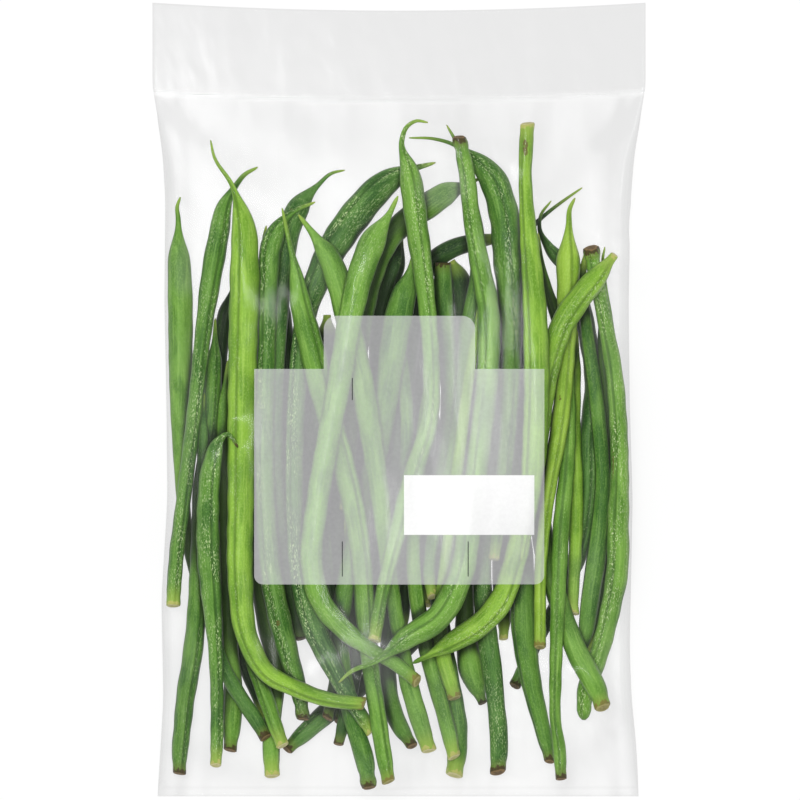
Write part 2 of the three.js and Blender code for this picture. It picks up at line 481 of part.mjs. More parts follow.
// A block with the bag's columns and rows as its grid, moved to where `shape` puts each corner.
function sheetBlock(columns, rows, shape) {
  const geometry = new THREE.BoxGeometry(1, 1, 1, columns, rows, 2);
  const place = geometry.attributes.position;
  for (let n = 0; n < place.count; n += 1) {
    const i = Math.round((place.getX(n) + 0.5) * columns);
    const j = Math.round((place.getY(n) + 0.5) * rows);
    const level = Math.round((place.getZ(n) + 0.5) * 2);
    const p = shape(i, j, level);
    place.setXYZ(n, p.x, p.y, p.z);
  }
  return geometry;
}

const wasm = await Module();
wasm.setup();

function solid(geometry) {
  const bare = geometry.clone();
  bare.deleteAttribute('normal');
  bare.deleteAttribute('uv');
  const merged = mergeVertices(bare, 1e-4);
  return new wasm.Manifold(new wasm.Mesh({
    numProp: 3,
    vertProperties: new Float32Array(merged.attributes.position.array),
    triVerts: new Uint32Array(merged.index.array),
  }));
}

function geometryOf(body) {
  const mesh = body.getMesh();
  const geometry = new THREE.BufferGeometry();
  geometry.setAttribute('position', new THREE.BufferAttribute(mesh.vertProperties, 3));
  geometry.setIndex(new THREE.BufferAttribute(mesh.triVerts, 1));
  geometry.computeVertexNormals();
  return geometry;
}

const dip = (x, row) => {
  if (row > SEAM) return 0;
  const across = toX(x) / toX(BAG_RIGHT[0][1]);
  const share = (SEAM - row) / (SEAM - BAG_TOP);
  return TOP_DIP * STEP * (1 - across * across) * share;
};

// A flat underside needs no crossings: they are drawn out to its two long edges.
function underside(i, j, rows) {
  if (j === 0 || j === rows) return i;
  return i <= BAG_COLUMNS / 2 ? 0 : BAG_COLUMNS;
}

// The bag's outside as a solid block.
function bagBlock(height) {
  const rowAt = (i, row) => {
    const x = column(i, row);
    return toY(row) - dip(x / STEP + MID_X, row);
  };
  const outer = sheetBlock(BAG_COLUMNS, BAG_ROWS.length - 1, (i, j, level) => {
    const row = BAG_ROWS[j];
    const edge = i === 0 || i === BAG_COLUMNS || j === 0;
    const top = height[j][i];
    const at = level === 0 ? underside(i, j, BAG_ROWS.length - 1) : i;
    let x = column(at, row);
    let y = rowAt(at, row);
    let z = [0, Math.min(FOLD_LINE, top / 2), top][level];
    if (level === 0 && row > SEAM) {
      const inset = BOTTOM_INSET * Math.min(1, (row - SEAM) / INSET_REACH);
      if (at === 0) x += inset;
      if (at === BAG_COLUMNS) x -= inset;
      if (j === 0) y += BOTTOM_INSET * 0.5;
    }
    if (level === 1 && !edge) z = top / 2;
    return { x, y, z };
  });
  return solid(outer);
}

// The bag: its block less the pocket that the pods lie in, less the vent.
function bagGeometry(block, height) {
  const seamRow = BAG_ROWS.indexOf(SEAM);
  const rows = seamRow - 1;
  const pocket = sheetBlock(BAG_COLUMNS, rows, (i, j, level) => {
    const at = j + 1;
    const row = BAG_ROWS[at];
    const side = i === 0 || i === BAG_COLUMNS;
    const across = level === 0 ? underside(i, j, rows) : i;
    let x = column(across, row);
    let y = toY(row);
    let top = height[at][i] - WALL;
    if (across === 0) x += WALL;
    if (across === BAG_COLUMNS) x -= WALL;
    if (side) {
      const inner = height[at][i === 0 ? 1 : BAG_COLUMNS - 1];
      const f = WALL / (column(1, row) - column(0, row));
      top = height[at][i] * (1 - f) + inner * f - WALL;
    }
    if (j === rows) y -= POCKET_SETBACK;
    let z = [WALL, Math.min(INNER_FOLD_LINE, (top + WALL) / 2), top][level];
    if (level === 0) {
      const inset = BOTTOM_INSET * Math.min(1, (row - SEAM) / INSET_REACH);
      if (across === 0) x += inset;
      if (across === BAG_COLUMNS) x -= inset;
      if (j === 0) y += BOTTOM_INSET * 0.5;
    }
    z = Math.max(z, WALL + THIN_GAP * level);
    return { x, y, z };
  });
  const vent = new THREE.CylinderGeometry(VENT_RADIUS, VENT_RADIUS, 3 * WALL, VENT_SIDES);
  vent.rotateX(Math.PI / 2);
  vent.translate(VENT_AT[0], VENT_AT[1], 0);
  return geometryOf(block.subtract(solid(pocket)).subtract(solid(vent)));
}

// The printed field lies on the front film and follows it: what the bag's block, raised by the
// field's lift and thickness, has above the block raised by the lift alone.
function fieldGeometry(block) {
  const x0 = toX(FIELD.left);
  const x1 = toX(FIELD.right);
  const above = block.translate([0, 0, FIELD_LIFT + FIELD_THICK]);
  const layer = above.subtract(block.translate([0, 0, FIELD_LIFT]));
  const shape = new THREE.Shape();
  const c = FIELD.corner * STEP;
  const tc = TAB.corner * STEP;
  const y0 = toY(FIELD.bottom);
  const y1 = toY(FIELD.top);
  const y2 = toY(TAB.top);
  const tx0 = toX(TAB.left);
  const tx1 = toX(TAB.right);
  shape.moveTo(x0 + c, y0);
  shape.lineTo(x1 - c, y0);
  shape.quadraticCurveTo(x1, y0, x1, y0 + c);
  shape.lineTo(x1, y1);
  shape.lineTo(tx1, y1);
  shape.lineTo(tx1, y2 - tc);
  shape.quadraticCurveTo(tx1, y2, tx1 - tc, y2);
  shape.lineTo(tx0 + tc, y2);
  shape.quadraticCurveTo(tx0, y2, tx0, y2 - tc);
  shape.lineTo(tx0, y1);
  shape.lineTo(x0, y1);
  shape.lineTo(x0, y0 + c);
  shape.quadraticCurveTo(x0, y0, x0 + c, y0);
  const cutter = new THREE.ExtrudeGeometry(shape, {
    depth: BAG_LENGTH,
    bevelEnabled: false,
    curveSegments: FIELD_CORNER_STEPS,
  });
  return geometryOf(layer.intersect(solid(cutter)));
}

const pods = Object.values(PODS).map(ringsOf);
settle(pods);
const heights = filmHeights(pods);
const block = bagBlock(heights);

const bundle = new THREE.Group();
bundle.name = 'green_bean_bundle';
Object.keys(PODS).forEach((name, n) => {
  const pod = pods[n];
  const material = new THREE.MeshStandardMaterial({
    color: COLOURS[pod.colour],
    roughness: 0.45,
    metalness: 0,
  });
  const mesh = new THREE.Mesh(podGeometry(pod), material);
  mesh.name = name;
  bundle.add(mesh);
});

const film = new THREE.MeshStandardMaterial({
  color: 0xf2f4f3,
  roughness: 0.12,
  metalness: 0,
  transparent: true,
  opacity: 0.2,
});
const bag = new THREE.Mesh(bagGeometry(block, heights), film);
bag.name = 'bag_film';
bundle.add(bag);

const ink = new THREE.MeshStandardMaterial({
  color: 0xd6d6d4,
  roughness: 0.3,
  metalness: 0,
  transparent: true,
  opacity: 0.6,
});
const field = new THREE.Mesh(fieldGeometry(block), ink);
field.name = 'printed_field';
bundle.add(field);

export default bundle;
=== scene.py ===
import json
import math

import bpy
import numpy as np
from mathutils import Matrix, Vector, noise
from mathutils.kdtree import KDTree


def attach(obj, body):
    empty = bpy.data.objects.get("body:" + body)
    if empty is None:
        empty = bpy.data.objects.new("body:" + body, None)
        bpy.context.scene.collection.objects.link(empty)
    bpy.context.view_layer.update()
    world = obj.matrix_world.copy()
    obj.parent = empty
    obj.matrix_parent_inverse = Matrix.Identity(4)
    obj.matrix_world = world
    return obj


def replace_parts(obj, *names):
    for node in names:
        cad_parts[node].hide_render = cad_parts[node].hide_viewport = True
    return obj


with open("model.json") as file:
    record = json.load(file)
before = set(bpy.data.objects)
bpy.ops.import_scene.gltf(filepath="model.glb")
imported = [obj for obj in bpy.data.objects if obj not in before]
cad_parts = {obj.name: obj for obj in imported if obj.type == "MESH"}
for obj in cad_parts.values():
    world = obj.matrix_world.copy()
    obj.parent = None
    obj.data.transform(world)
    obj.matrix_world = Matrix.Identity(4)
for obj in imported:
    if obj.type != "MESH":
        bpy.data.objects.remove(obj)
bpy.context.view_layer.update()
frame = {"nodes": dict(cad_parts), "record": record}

# A bundle of fine green beans in its clear bag, lying on its back. Lengths are in millimetres
# here, and in metres in the meshes.
MM = 0.001
FULL_TURN = 2 * math.pi

# The pods' solids, which their skins follow.
SOLID_SIDES = 7  # sides of a solid
SOLID_EASE = 1.05  # how much wider it is at its corners than the round pod
WELD = 0.01  # two corners of a solid nearer than this are one
BLUNT = 1.1  # a thin end with a wider radius than this isn't a beak
BLUNT_END = 0.94  # the radius at a blunt thin end, as a share of the next ring's
BEAK_END = 0.3  # the same at a beak
STEM_END = 0.97  # and at the stem end
BLUNT_TIP = 1.0  # the first radius is more than this on a blunt end, and less on a beak

# The shape of a pod's skin.
CURVE_STEPS = 900  # points on a centre line before it is cut into stations
STATIONS = 150  # rings along a pod
AROUND = 28  # points in one ring
CROWDING = 0.5  # how much closer together they are at the groove
TWIST = 0.6  # the most that a pod twists from end to end, in radians
GROOVED_TWIST = 0.3  # the share of its twist in a pod whose groove shows
OVAL = 0.03  # how much a pod's section is longer through its groove than across
SEED_SPACING = 9.5
SEED_DRIFT, DRIFT_RATE = 1.6, 0.11  # how far seeds stray from even spacing, and how quickly
SEED_SWELL = 0.03
SEEDS_AT_GROOVE = 0.35  # how much of the swell shows in line with the groove
SEEDLESS_BEAK, SEEDLESS_STEM = 22, 12  # lengths over which the seeds fade out
SUTURE_DEPTH = 0.08
SUTURE_HALF_WIDTH = 0.15  # radians
SUTURE_RADIUS = 1.5  # a groove is shallower where the pod is thinner than this
LIP_PLACE = 3 * SUTURE_HALF_WIDTH
LIP_RISE = 0.025
# Swellings before the stem end: swell, distance from the end, half width.
NECK = ((-0.08, 2.6, 1.5), (0.05, 0.0, 0.9))
CAPPED_NECK = ((0.13, 1.5, 1.2), (-0.10, 4.0, 1.1))
# Waves round the rim of a stem end: how many, which way they are turned, swell.
RIM_WAVES = ((3, 1, 0.05),)
CAPPED_RIM_WAVES = ((3, 1, 0.10), (7, -1, 0.07))
RIM_WAVE_REACH = 1.8
# The stem end is cut at a slant.
SLANT = (0.2, 0.55)  # least and most
SLANT_WAY = 0.75 * FULL_TURN
SLANT_SPREAD = 0.7  # radians to each side of that way
SLANT_MIDDLE = 0.5  # keeps a slanted cut within the pod's length
SLANT_REACH = 4.5
# Rings that round off the cut face: share of the radius, bulge, how far into the face.
CUT_RINGS = ((0.93, 0.10, 0.3), (0.8, 0.16, 0.75), (0.45, 0.10, 1.0))

# Painted shade on the skin: darker low on a pod's sides and deep between the pods.
LOWER_SIDE_SHADE = 0.6  # painted shade on a pod's lower side, as a share of the darkest painted shade between pods
LOWER_SHADE_RANGE = (0.15, 1.15)  # from here to here below the top, in radii, the painted shade sets in
LEAST_RADIUS = 0.6  # the radius that a thinner beak counts as
DEEP_SHADE_RANGE = (0.3, 6.5)  # from here to here below the pods around it, painted shade darkens the skin

# Colours are written as they look, in 0 to 255.
TONES = {
    # tone: (painted shade, body, painted lit streaks), laid on at random with the skin's own mottling
    "bright": ((110, 158, 44), (146, 193, 64), (184, 222, 104)),
    "yellow": ((132, 176, 50), (166, 206, 76), (194, 228, 112)),
    "fresh": ((88, 138, 44), (122, 172, 68), (162, 206, 102)),
    "mid": ((64, 112, 40), (100, 148, 58), (142, 188, 92)),
    "dark": ((54, 98, 40), (88, 134, 60), (130, 174, 92)),
    "deep": ((36, 66, 30), (58, 96, 42), (92, 128, 64)),
}
# Pods whose skin is lighter or darker than the others of their slot, by number.
SHADES = {
    "fresh": (6, 9, 29, 33, 40),
    "mid": (10, 27, 28, 34),
    "dark": (4,),
}
CREVICE_SHADE = (20, 36, 15)  # painted shade for skin deep between other pods
# pale flecks: the skin's own specks and painted glints
FLECK_AND_GLINT = (204, 226, 164)
SPOT = (112, 92, 52)
ENDS = {
    # end: (skin at the end, rim of the cut, cut face, how far the skin's and the rim's colour reach)
    "beak": ((164, 196, 84), (168, 186, 84), (172, 190, 92), 7.0, 0.8),
    "green": ((96, 142, 52), (104, 140, 56), (150, 164, 90), 3.0, 0.4),
    "pale": ((168, 198, 84), (196, 196, 112), (222, 216, 160), 8.0, 0.6),
    "tan": ((142, 170, 66), (136, 126, 62), (184, 176, 112), 5.0, 0.8),
    "brown": ((112, 132, 52), (74, 56, 34), (140, 114, 72), 4.5, 1.1),
    "dark": ((76, 98, 40), (50, 40, 24), (98, 80, 50), 4.0, 1.0),
}
# What pods end in, at the thin end and at the stem end: which pods, by number.
PLAIN_PAIR = ("beak", "pale")
END_PAIRS = {
    ("beak", "tan"): (3, 6, 9, 22, 39, 43),
    ("beak", "brown"): (5, 10, 13, 16, 21, 28, 29, 31, 35, 36, 37, 41, 44),
    ("beak", "dark"): (4, 20, 40, 45),
    ("brown", "pale"): (17, 34),
    ("green", "pale"): (23,),
    ("green", "brown"): (24,),
}
CAPPED = (5, 10, 13, 24)  # the pods whose stem end still has its withered cap
# A beak's length, its width and the length over which the pod widens to its full size.
PLAIN_BEAK = (4, 1.3, 9)
BEAKS = {
    1: (7, 1.5, 12),
    2: (9, 1.8, 9),
    3: (15, 1.4, 13),
    4: (7, 1.2, 12),
    5: (6, 1.5, 10),
    6: (12, 1.6, 12),
    7: (3, 1.5, 11),
    8: (3, 1.4, 12),
    9: (3, 1.5, 12),
    11: (11, 1.6, 11),
    12: (15, 1.3, 11),
    13: (10, 1.6, 15),
    14: (5, 1.1, 15),
    19: (15, 1.2, 14),
    20: (8, 1.2, 12),
    21: (4, 1.2, 12),
    22: (6, 1.7, 13),
    23: (2, 1.5, 12),
    24: (3, 4.6, 6),
    25: (6, 1.1, 14),
}
BEAK_TIP = 0.25  # the width at the very tip, as a share of the beak's
BEAK_HELD = 0.8  # the share of a beak's length before it starts to widen
# How much wider pods are drawn than their solids measure, mostly to close gaps behind others.
ALL_FULLER = 1.03
FULLER = {
    1.00: (40,),
    1.05: (42,),
    1.08: (26, 28, 32),
    1.10: (14, 20, 27),
    1.12: (29, 33),
    1.16: (44,),
    1.20: (43,),
    1.25: (17, 52),
    1.30: (48, 53),
}
# Where a pod's groove shows: degrees to the right of the line along its top.
GROOVES = {
    2: 25, 3: -20, 5: -30, 6: 30, 8: -35, 11: 15, 13: -12,
    18: -30, 21: -8, 22: 20, 23: 25, 24: -22, 28: 20, 34: 15,
}
# How thickly pods are flecked with pale specks and painted glints, from 0 to 1.
PLAIN_FLECKS = 0.35
FLECKS = {
    0.8: (4, 9, 12, 13, 23),
    0.9: (2, 5, 11),
    1.0: (8, 24, 34, 41),
}
# Brown marks on the skin: x, y, half width along x, half length along y.
SPOTS = {
    4: ((-32.1, 56.9, 0.8, 1.1),),
    5: ((-36.2, -67.0, 1.0, 1.1),),
    18: ((37.9, 75.4, 1.1, 3.4),),
    22: ((48.3, 12.8, 0.8, 2.0), (48.3, 0.5, 0.7, 1.0)),
    24: ((64.2, -19.7, 0.25, 7.0),),
}
# Patterns in a pod's skin: waves in a millimetre along it and across it, detail, roughness.
PATTERNS = {
    "blotch": (0.08, 0.22, 2.0, 0.5),
    "fibre": (0.07, 1.5, 2.0, 0.5),
    "stipple": (1.6, 3.0, 2.0, 0.6),
    "dash": (1.3, 3.2, 1.5, 0.6),
    "patch": (0.07, 0.35, 1.0, 0.5),
    "wander": (0.5, 0.9, 3.0, 0.5),
    "torn": (1.6, 1.6, 2.0, 0.5),
    "grain": (1.4, 3.2, 2.0, 0.6),
}
PATTERN_SHIFT = (13.7, 5.1, 3.3)  # from one pod to the next
FIBRE_DEPTH = 0.22
GRAIN_DEPTH = 0.1
RELIEF = 0.6
# A range goes from one value to another. Two more numbers say what it gives there, or else 0 and 1.
BLOTCH_RANGE = (0.36, 0.6)
# Layers of colour over the blotches, streaks of painted sheen and painted shade: pattern, range,
# which of the tone's colours.
SHADED, BODY, LIT = range(3)
SKIN_LAYERS = (
    ("fibre", (0.5, 0.7, 0.0, 0.4), LIT),
    ("fibre", (0.3, 0.45, 0.3, 0.0), SHADED),
    ("stipple", (0.5, 0.68, 0.0, 0.35), LIT),
    ("stipple", (0.3, 0.46, 0.25, 0.0), SHADED),
)
GROOVE_RANGE = (0.12, 0.75, 0.65, 0.0)  # painted shade along the groove
FLECK_ROW = (0.6, 2.4, 1.0)  # flecks are thickest near the groove
FLECKS_ELSEWHERE = (0.2, 0.35)  # their share elsewhere, and what thick flecking adds to it
FLECK_LEAST, FLECK_THICKENING, FLECK_SOFTNESS = 0.59, 0.04, 0.1
PATCH_RANGE = (0.38, 0.56)
# how far the painted shade colour covers the skin
SHADE_COVER_RANGE = (0.0, 1.0, 0.0, 0.85)
END_COVER = 0.75
WANDER_RANGE = (0.3, 0.7, 0.8, -0.8)  # how a rim wanders to and fro
RIM_FULL, RIM_COVER = 0.6, 0.9
TORN_RANGE = (0.3, 0.7, -0.12, 0.12)  # how uneven the cut face is
CUT_RANGE = (0.3, 0.6)
CUT_RIM_RANGE = (0.86, 1.0, 0.0, 0.6)
SPOT_TORN_RANGE = (0.25, 0.6, 0.7, 1.6)
SPOT_RANGE = (0.75, 1.0, 0.0, 0.85)
SKIN_ROUGHNESS = (0.3, 0.7, 0.36, 0.5)
CUT_ROUGHER = 0.25
SKIN_GLOSS = 0.3

# The height map that tells how deep a point lies between the pods, for the painted shade there.
MAP_HALF_WIDTH = 76.0
MAP_HALF_LENGTH = 122.0
MAP_PITCH = 0.75
MAP_BLUR = 3  # cells to each side
MAP_BLURS = 3  # times

# The bag's solid, and where its edges are read from it.
EDGE_Z = 0.3  # its edges are read above this height
SIDE_SEARCH = 66.0  # its sides lie further out than this
TOP_SEARCH = 115.0  # and its top edge further up than this
SAME_ROW = 0.11  # corners nearer to each other than this are in one row
HEADER_REACH = 72.5  # corners of a side nearer to the middle than this aren't on the edge
POCKET_REACH = 68.5  # the same for the pocket
FOOT_REACH = 70.5  # and for its foot
HEADER_FOOT_Y = 88.85
FOOT_Y = -110.0

# The bag's shape.
FILM_COLUMNS = 170
FILM_ROWS = 270
SEAM_Y = 89.85  # where the header meets the pocket
SEAM_RISE = 2.4  # how much higher the seam's bright line runs at the bag's sides
HEADER_Z = 0.9
SIDE_Z = 3.2  # how high the side crease runs
SIDE_RISE, SIDE_FALL = 14.0, 30.0  # over these lengths it rises from the seal and falls to the seam
SEAL_Z = 0.8
BACK_Z = 0.12
SIDE_TUCK = 2.4  # how far the back film draws in from the side crease
TUCK_AT_SEAM, TUCK_AT_FOOT = 18.0, 8.0  # lengths over which that fades out
FILM_CLEARANCE = 0.25
RELAX_ROUNDS = 600
EDGE_SMOOTHING = 4  # rows to each side
FREE_AT_SEAM, FREE_AT_FOOT, FREE_AT_SIDE = 12.0, 6.0, 5.0  # from here on the film may fold freely
# Slack folds: width, length, which cut through the noise, strength.
RIPPLES = ((9, 34, 0.3, 1), (4, 19, 4.1, 0.5))
SLACK_RISE = 0.32
HELD_SLACK_RISE = 0.05  # where the film isn't free
FOLD_RISE = 0.8

# The film's looks.
# Soft folds, raised a little and in painted shade: from x, y to x, y, half width, strength.
FOLDS = (
    (-71, 87.5, -58.5, 77, 3.2, 0.8),
    (-58.5, 77, -40, 66, 6, 0.45),
    (-72, 75.5, -66, 60, 2.2, 0.5),
    (72.5, 87.5, 60, 76.5, 4, 0.8),
    (60, 76.5, 47, 62, 7, 0.4),
    (70, 72, 66, 50, 2.8, 0.45),
    (-40, 86, -14, 78, 8, 0.4),
    (14, 84, 33, 74, 6, 0.4),
    (-70, -76, -64, -96, 3, 0.4),
    (-66, -104, -42, -114, 4.5, 0.4),
    (66, -96, 50, -113, 4.5, 0.4),
    (-6, -114, 24, -108, 4.5, 0.3),
)
# Painted pale sheen over the pods, laid on as haze: x, y, half width, half length, strength.
PAINTED_SHEENS = (
    (-64.5, 40, 5, 10, 0.8),
    (-60, -8, 6, 16, 0.35),
    (-12, -74, 20, 20, 0.6),
    (14, -92, 16, 14, 0.35),
    (58, -62, 9, 22, 0.45),
    (62, 8, 6, 20, 0.3),
    (-22, 42, 14, 12, 0.25),
    (13, 64, 9, 8, 1.4),
)
HAZE_EDGE = (-1.15, -0.55)  # a haze fades in between these shares of its size, outermost first
HAZE_STREAKS = 0.35  # how much of a haze comes and goes with the slack folds
STREAK_SHARPNESS = 2
# Grey lines along the sides, painted shade where the film turns down, and along the seal: distance
# from the edge, half width, strength.
SIDE_LINES = ((0.0, 2.2, 0.9), (6.5, 1.8, 0.55))
SEAL_LINES = ((2.6, 0.4, 0.25), (0.0, 0.8, 0.3))
SEAM_LINE = (0.4, 0.6, 2.4)  # the bright line: height above the seam, half width, haze
SEAM_EDGE = 1.5  # the length below the seam over which the pocket's looks set in
SEAM_SHADE = 0.2  # how grey the film is just under the seam
SEAM_SHADE_RANGE = (32.0, 2.0)  # from here to here below the seam it sets in
SLACK_GREY = 0.3  # painted shade in the slack folds
SLACK_RANGE = (-0.1, 0.6)
BACK_GREY = 0.4  # the back film's share of the front's painted shade
# GREY_TINT gives the painted shade in folds and at the sides, and the greyer tint edge on and in
# clouds
CLEAR_TINT, GREY_TINT, HEADER_TINT = (253,) * 3, (243,) * 3, (246,) * 3
HAZE_COLOUR = (225, 227, 226)
# Patterns in the film: waves in a metre along x, y and z, detail, roughness.
FILM_PATTERNS = {
    "crinkle": (80, 36, 60, 3, 0.55),
    "fine": (420, 260, 300, 2, 0.5),
    "cloud": (24, 12, 20, 2, 0.5),
}
CRINKLE_DEPTH, CRINKLE_RELIEF = 0.5, 0.35
FINE_DEPTH, FINE_RELIEF = 0.05, 0.12
TILT_GREY = (0.3, 1.0, 0.0, 0.3)  # the film is greyer where it is seen edge on
CLOUD_GREY = (0.4, 0.7, 0.0, 0.12)
HAZE_COVER, GREY_COVER = 0.14, 0.02  # how much full haze and full grey hide
HAZE_ROUGHNESS, HAZE_GLOSS = 0.3, 0.4
GLOSS_ROUGHNESS = 0.12
GLOSS_INDEX = 1.3
MOST_GLOSS = 0.03

# The printed field.
FIELD_LEFT, FIELD_RIGHT = -43.35, 43.5
FIELD_BOTTOM, FIELD_TOP = -55.35, 9.15
FIELD_CORNER = 2.7
TAB_LEFT, TAB_RIGHT = -22.5, 22.8
TAB_TOP = 25.05
TAB_CORNER = 3.9
BOX = (1.5, 40.5, -40.5, -22.65)  # the plain pale box: left, right, bottom, top
RULES = ((-16.95, -52.95, -42.45), (20.7, -52.95, -42.45), (-13.95, -0.15, 6.45))  # x, y, y
RULE_WIDTH = 0.3
RULE_ROWS = 14
FIELD_LIFT = 0.12
PRINT_LIFT = 0.22
PRINT_PITCH = 0.8  # between the points of a printed patch
CORNER_STEPS = 9
INKS = {
    # ink: (colour, how much it hides, from 0 to 1)
    "field_ink": ((248, 247, 250), 0.37),
    "box_ink": ((246, 246, 246), 0.97),
    "rule_ink": ((56, 56, 58), 0.9),
}
INK_SPECKS = ((900, 900, 900), 2, 0.5)  # waves in a metre, detail, roughness
INK_UNEVEN = 2  # how much darker the specks are
COVER_UNEVEN = 0.01
SPECK_RANGE = (0.3, 0.7)
COVER_RANGE = (0.2, 0.8)
INK_ROUGHNESS = 0.35

# The studio, in metres and watts.
SENSOR = 36
LENS = 960
CAMERA_PLACE = (0.0003, -0.00015, 6.412)
CAMERA_RANGE = (0.1, 10)
# light: (place, size, power, whether it shows in glossy surfaces)
LIGHTS = {
    "overhead": ((-0.1, 0.15, 2.0), (0.8, 0.8), 23, False),
    "strip": ((-0.32, 0.15, 1.5), (0.12, 1.2), 5, True),
}
SKY_STRENGTH = 0.34
FLOOR_HALF_SIZE = 3.0
FLOOR_GREY = 0.2
FLOOR_GLOW = 0.8
FLOOR_ROUGHNESS = 0.9
WHITE = (1, 1, 1, 1)


def linear(colour):
    """A colour written in 0 to 255 as linear values with full cover."""
    out = []
    for c in colour:
        c = c / 255
        out.append(c / 12.92 if c <= 0.04045 else ((c + 0.055) / 1.055) ** 2.4)
    return (*out, 1.0)


def between(a, b):
    """The colour halfway between two linear ones."""
    return tuple((p + q) / 2 for p, q in zip(a, b))


def bell(distance, width):
    """1 at a distance of 0, falling smoothly to nothing over about two widths."""
    return np.exp(-((distance / width) ** 2))


def smooth_step(value, low, high):
    t = np.clip((value - low) / (high - low), 0, 1)
    return t * t * (3 - 2 * t)


def ramp(distance, length):
    """From 0 at an edge to 1 at this length from it."""
    return np.clip(distance / length, 0, 1)


def listed(table, number, plain):
    """The key of the table's row that lists a pod's number, or else the plain one."""
    return next((key for key, numbers in table.items() if number in numbers), plain)


# Materials.
class Paint:
    """A material in the making: its nodes are added and linked here."""

    def __init__(self, name):
        self.material = bpy.data.materials.new(name)
        self.material.use_nodes = True
        self.nodes = self.material.node_tree.nodes
        self.links = self.material.node_tree.links
        self.shader = self.nodes["Principled BSDF"]
        self.output = self.nodes["Material Output"]

    def feed(self, socket, value):
        if isinstance(value, bpy.types.NodeSocket):
            self.links.new(value, socket)
        else:
            socket.default_value = value

    def feed_shader(self, **values):
        for name, value in values.items():
            self.feed(self.shader.inputs[name.replace("_", " ")], value)

    def add(self, kind, sockets=None, **settings):
        made = self.nodes.new(kind)
        for key, value in settings.items():
            setattr(made, key, value)
        for key, value in (sockets or {}).items():
            self.feed(made.inputs[key], value)
        return made

    def place(self):
        """The point's place in its object, in metres."""
        return self.add("ShaderNodeTexCoord").outputs["Object"]

    def attribute(self, name):
        return self.add("ShaderNodeAttribute", attribute_name=name).outputs["Vector"]

    def split(self, vector):
        return self.add("ShaderNodeSeparateXYZ", {0: vector}).outputs

    def math(self, operation, a, b, clamp=False):
        made = self.add("ShaderNodeMath", {0: a, 1: b}, operation=operation)
        made.use_clamp = clamp
        return made.outputs[0]

    def plus(self, a, b, clamp=False):
        return self.math("ADD", a, b, clamp)

    def times(self, a, b):
        return self.math("MULTIPLY", a, b)

    def vector_math(self, operation, a, b):
        made = self.add("ShaderNodeVectorMath", {0: a, 1: b}, operation=operation)
        return made.outputs[0]

    def noise(self, place, waves, detail, roughness):
        """A cloudy pattern with so many waves in a unit along each axis."""
        sockets = {
            "Vector": self.vector_math("MULTIPLY", place, waves),
            "Scale": 1.0,
            "Detail": detail,
            "Roughness": roughness,
        }
        return self.add("ShaderNodeTexNoise", sockets).outputs["Fac"]

    def step(self, value, low, high, to_low=0.0, to_high=1.0):
        sockets = {0: value, 1: low, 2: high, 3: to_low, 4: to_high}
        made = self.add("ShaderNodeMapRange", sockets, interpolation_type="SMOOTHSTEP")
        return made.outputs[0]

    def mix(self, share, a, b):
        made = self.add("ShaderNodeMix", {0: share, 6: a, 7: b}, data_type="RGBA")
        return made.outputs[2]

    def mix_shaders(self, share, a, b):
        made = self.add("ShaderNodeMixShader", {0: share, 1: a, 2: b})
        return made.outputs[0]

    def bump(self, height, distance, strength, normal=None):
        sockets = {"Height": height, "Distance": distance * MM, "Strength": strength}
        if normal is not None:
            sockets["Normal"] = normal
        return self.add("ShaderNodeBump", sockets).outputs[0]


def pod_skin_colour(paint, seen, tone, flecked, suture, depth):
    """Blotched green with fibres in painted shade and sheen, pale flecks and painted glints, painted
    shade along the groove and deep between the pods.
    """
    tones = [linear(c) for c in TONES[tone]]
    crevice_shade = linear(CREVICE_SHADE)
    # blotches and streaks in shaded and lit copies of the green: the skin's own mottling with painted
    # shade and sheen
    colour = paint.mix(paint.step(seen["blotch"], *BLOTCH_RANGE), tones[SHADED], tones[BODY])
    for pattern, layer_range, layer_tone in SKIN_LAYERS:
        colour = paint.mix(paint.step(seen[pattern], *layer_range), colour, tones[layer_tone])
    # painted shade in the groove
    colour = paint.mix(paint.step(suture, *GROOVE_RANGE), colour, between(tones[SHADED], crevice_shade))

    plain, added = FLECKS_ELSEWHERE
    beside_groove = paint.step(suture, *FLECK_ROW, plain + added * flecked)
    least = FLECK_LEAST - FLECK_THICKENING * flecked
    dashes = paint.step(seen["dash"], least, least + FLECK_SOFTNESS)
    amount = paint.times(dashes, paint.step(seen["patch"], *PATCH_RANGE))
    amount = paint.times(amount, beside_groove)
    # pale flecks, partly painted glints
    colour = paint.mix(paint.times(amount, flecked), colour, linear(FLECK_AND_GLINT))
    # painted shade deep between the pods and low on their sides
    return paint.mix(paint.step(depth, *SHADE_COVER_RANGE), colour, crevice_shade)


def pod_end_colour(paint, seen, colour, distance, end, beak=0.0):
    """The skin's colour near one end, and the end's rim."""
    end_skin, end_rim, _, reach, rim_reach = ENDS[end]
    soft = paint.step(distance, 0.0, max(reach, beak), END_COVER, 0.0)
    colour = paint.mix(soft, colour, linear(end_skin))
    edge = paint.plus(distance, paint.step(seen["wander"], *WANDER_RANGE))
    rim = paint.step(edge, RIM_FULL * rim_reach, rim_reach, RIM_COVER, 0.0)
    return paint.mix(rim, colour, linear(end_rim))


def pod_cut_colour(paint, seen, colour, face, end):
    """The cut face's colour, with the rim's round it."""
    _, rim, cut, _, _ = ENDS[end]
    core = paint.plus(face, paint.step(seen["torn"], *TORN_RANGE))
    colour = paint.mix(paint.step(core, *CUT_RANGE), colour, linear(cut))
    return paint.mix(paint.step(core, *CUT_RIM_RANGE), colour, linear(rim))


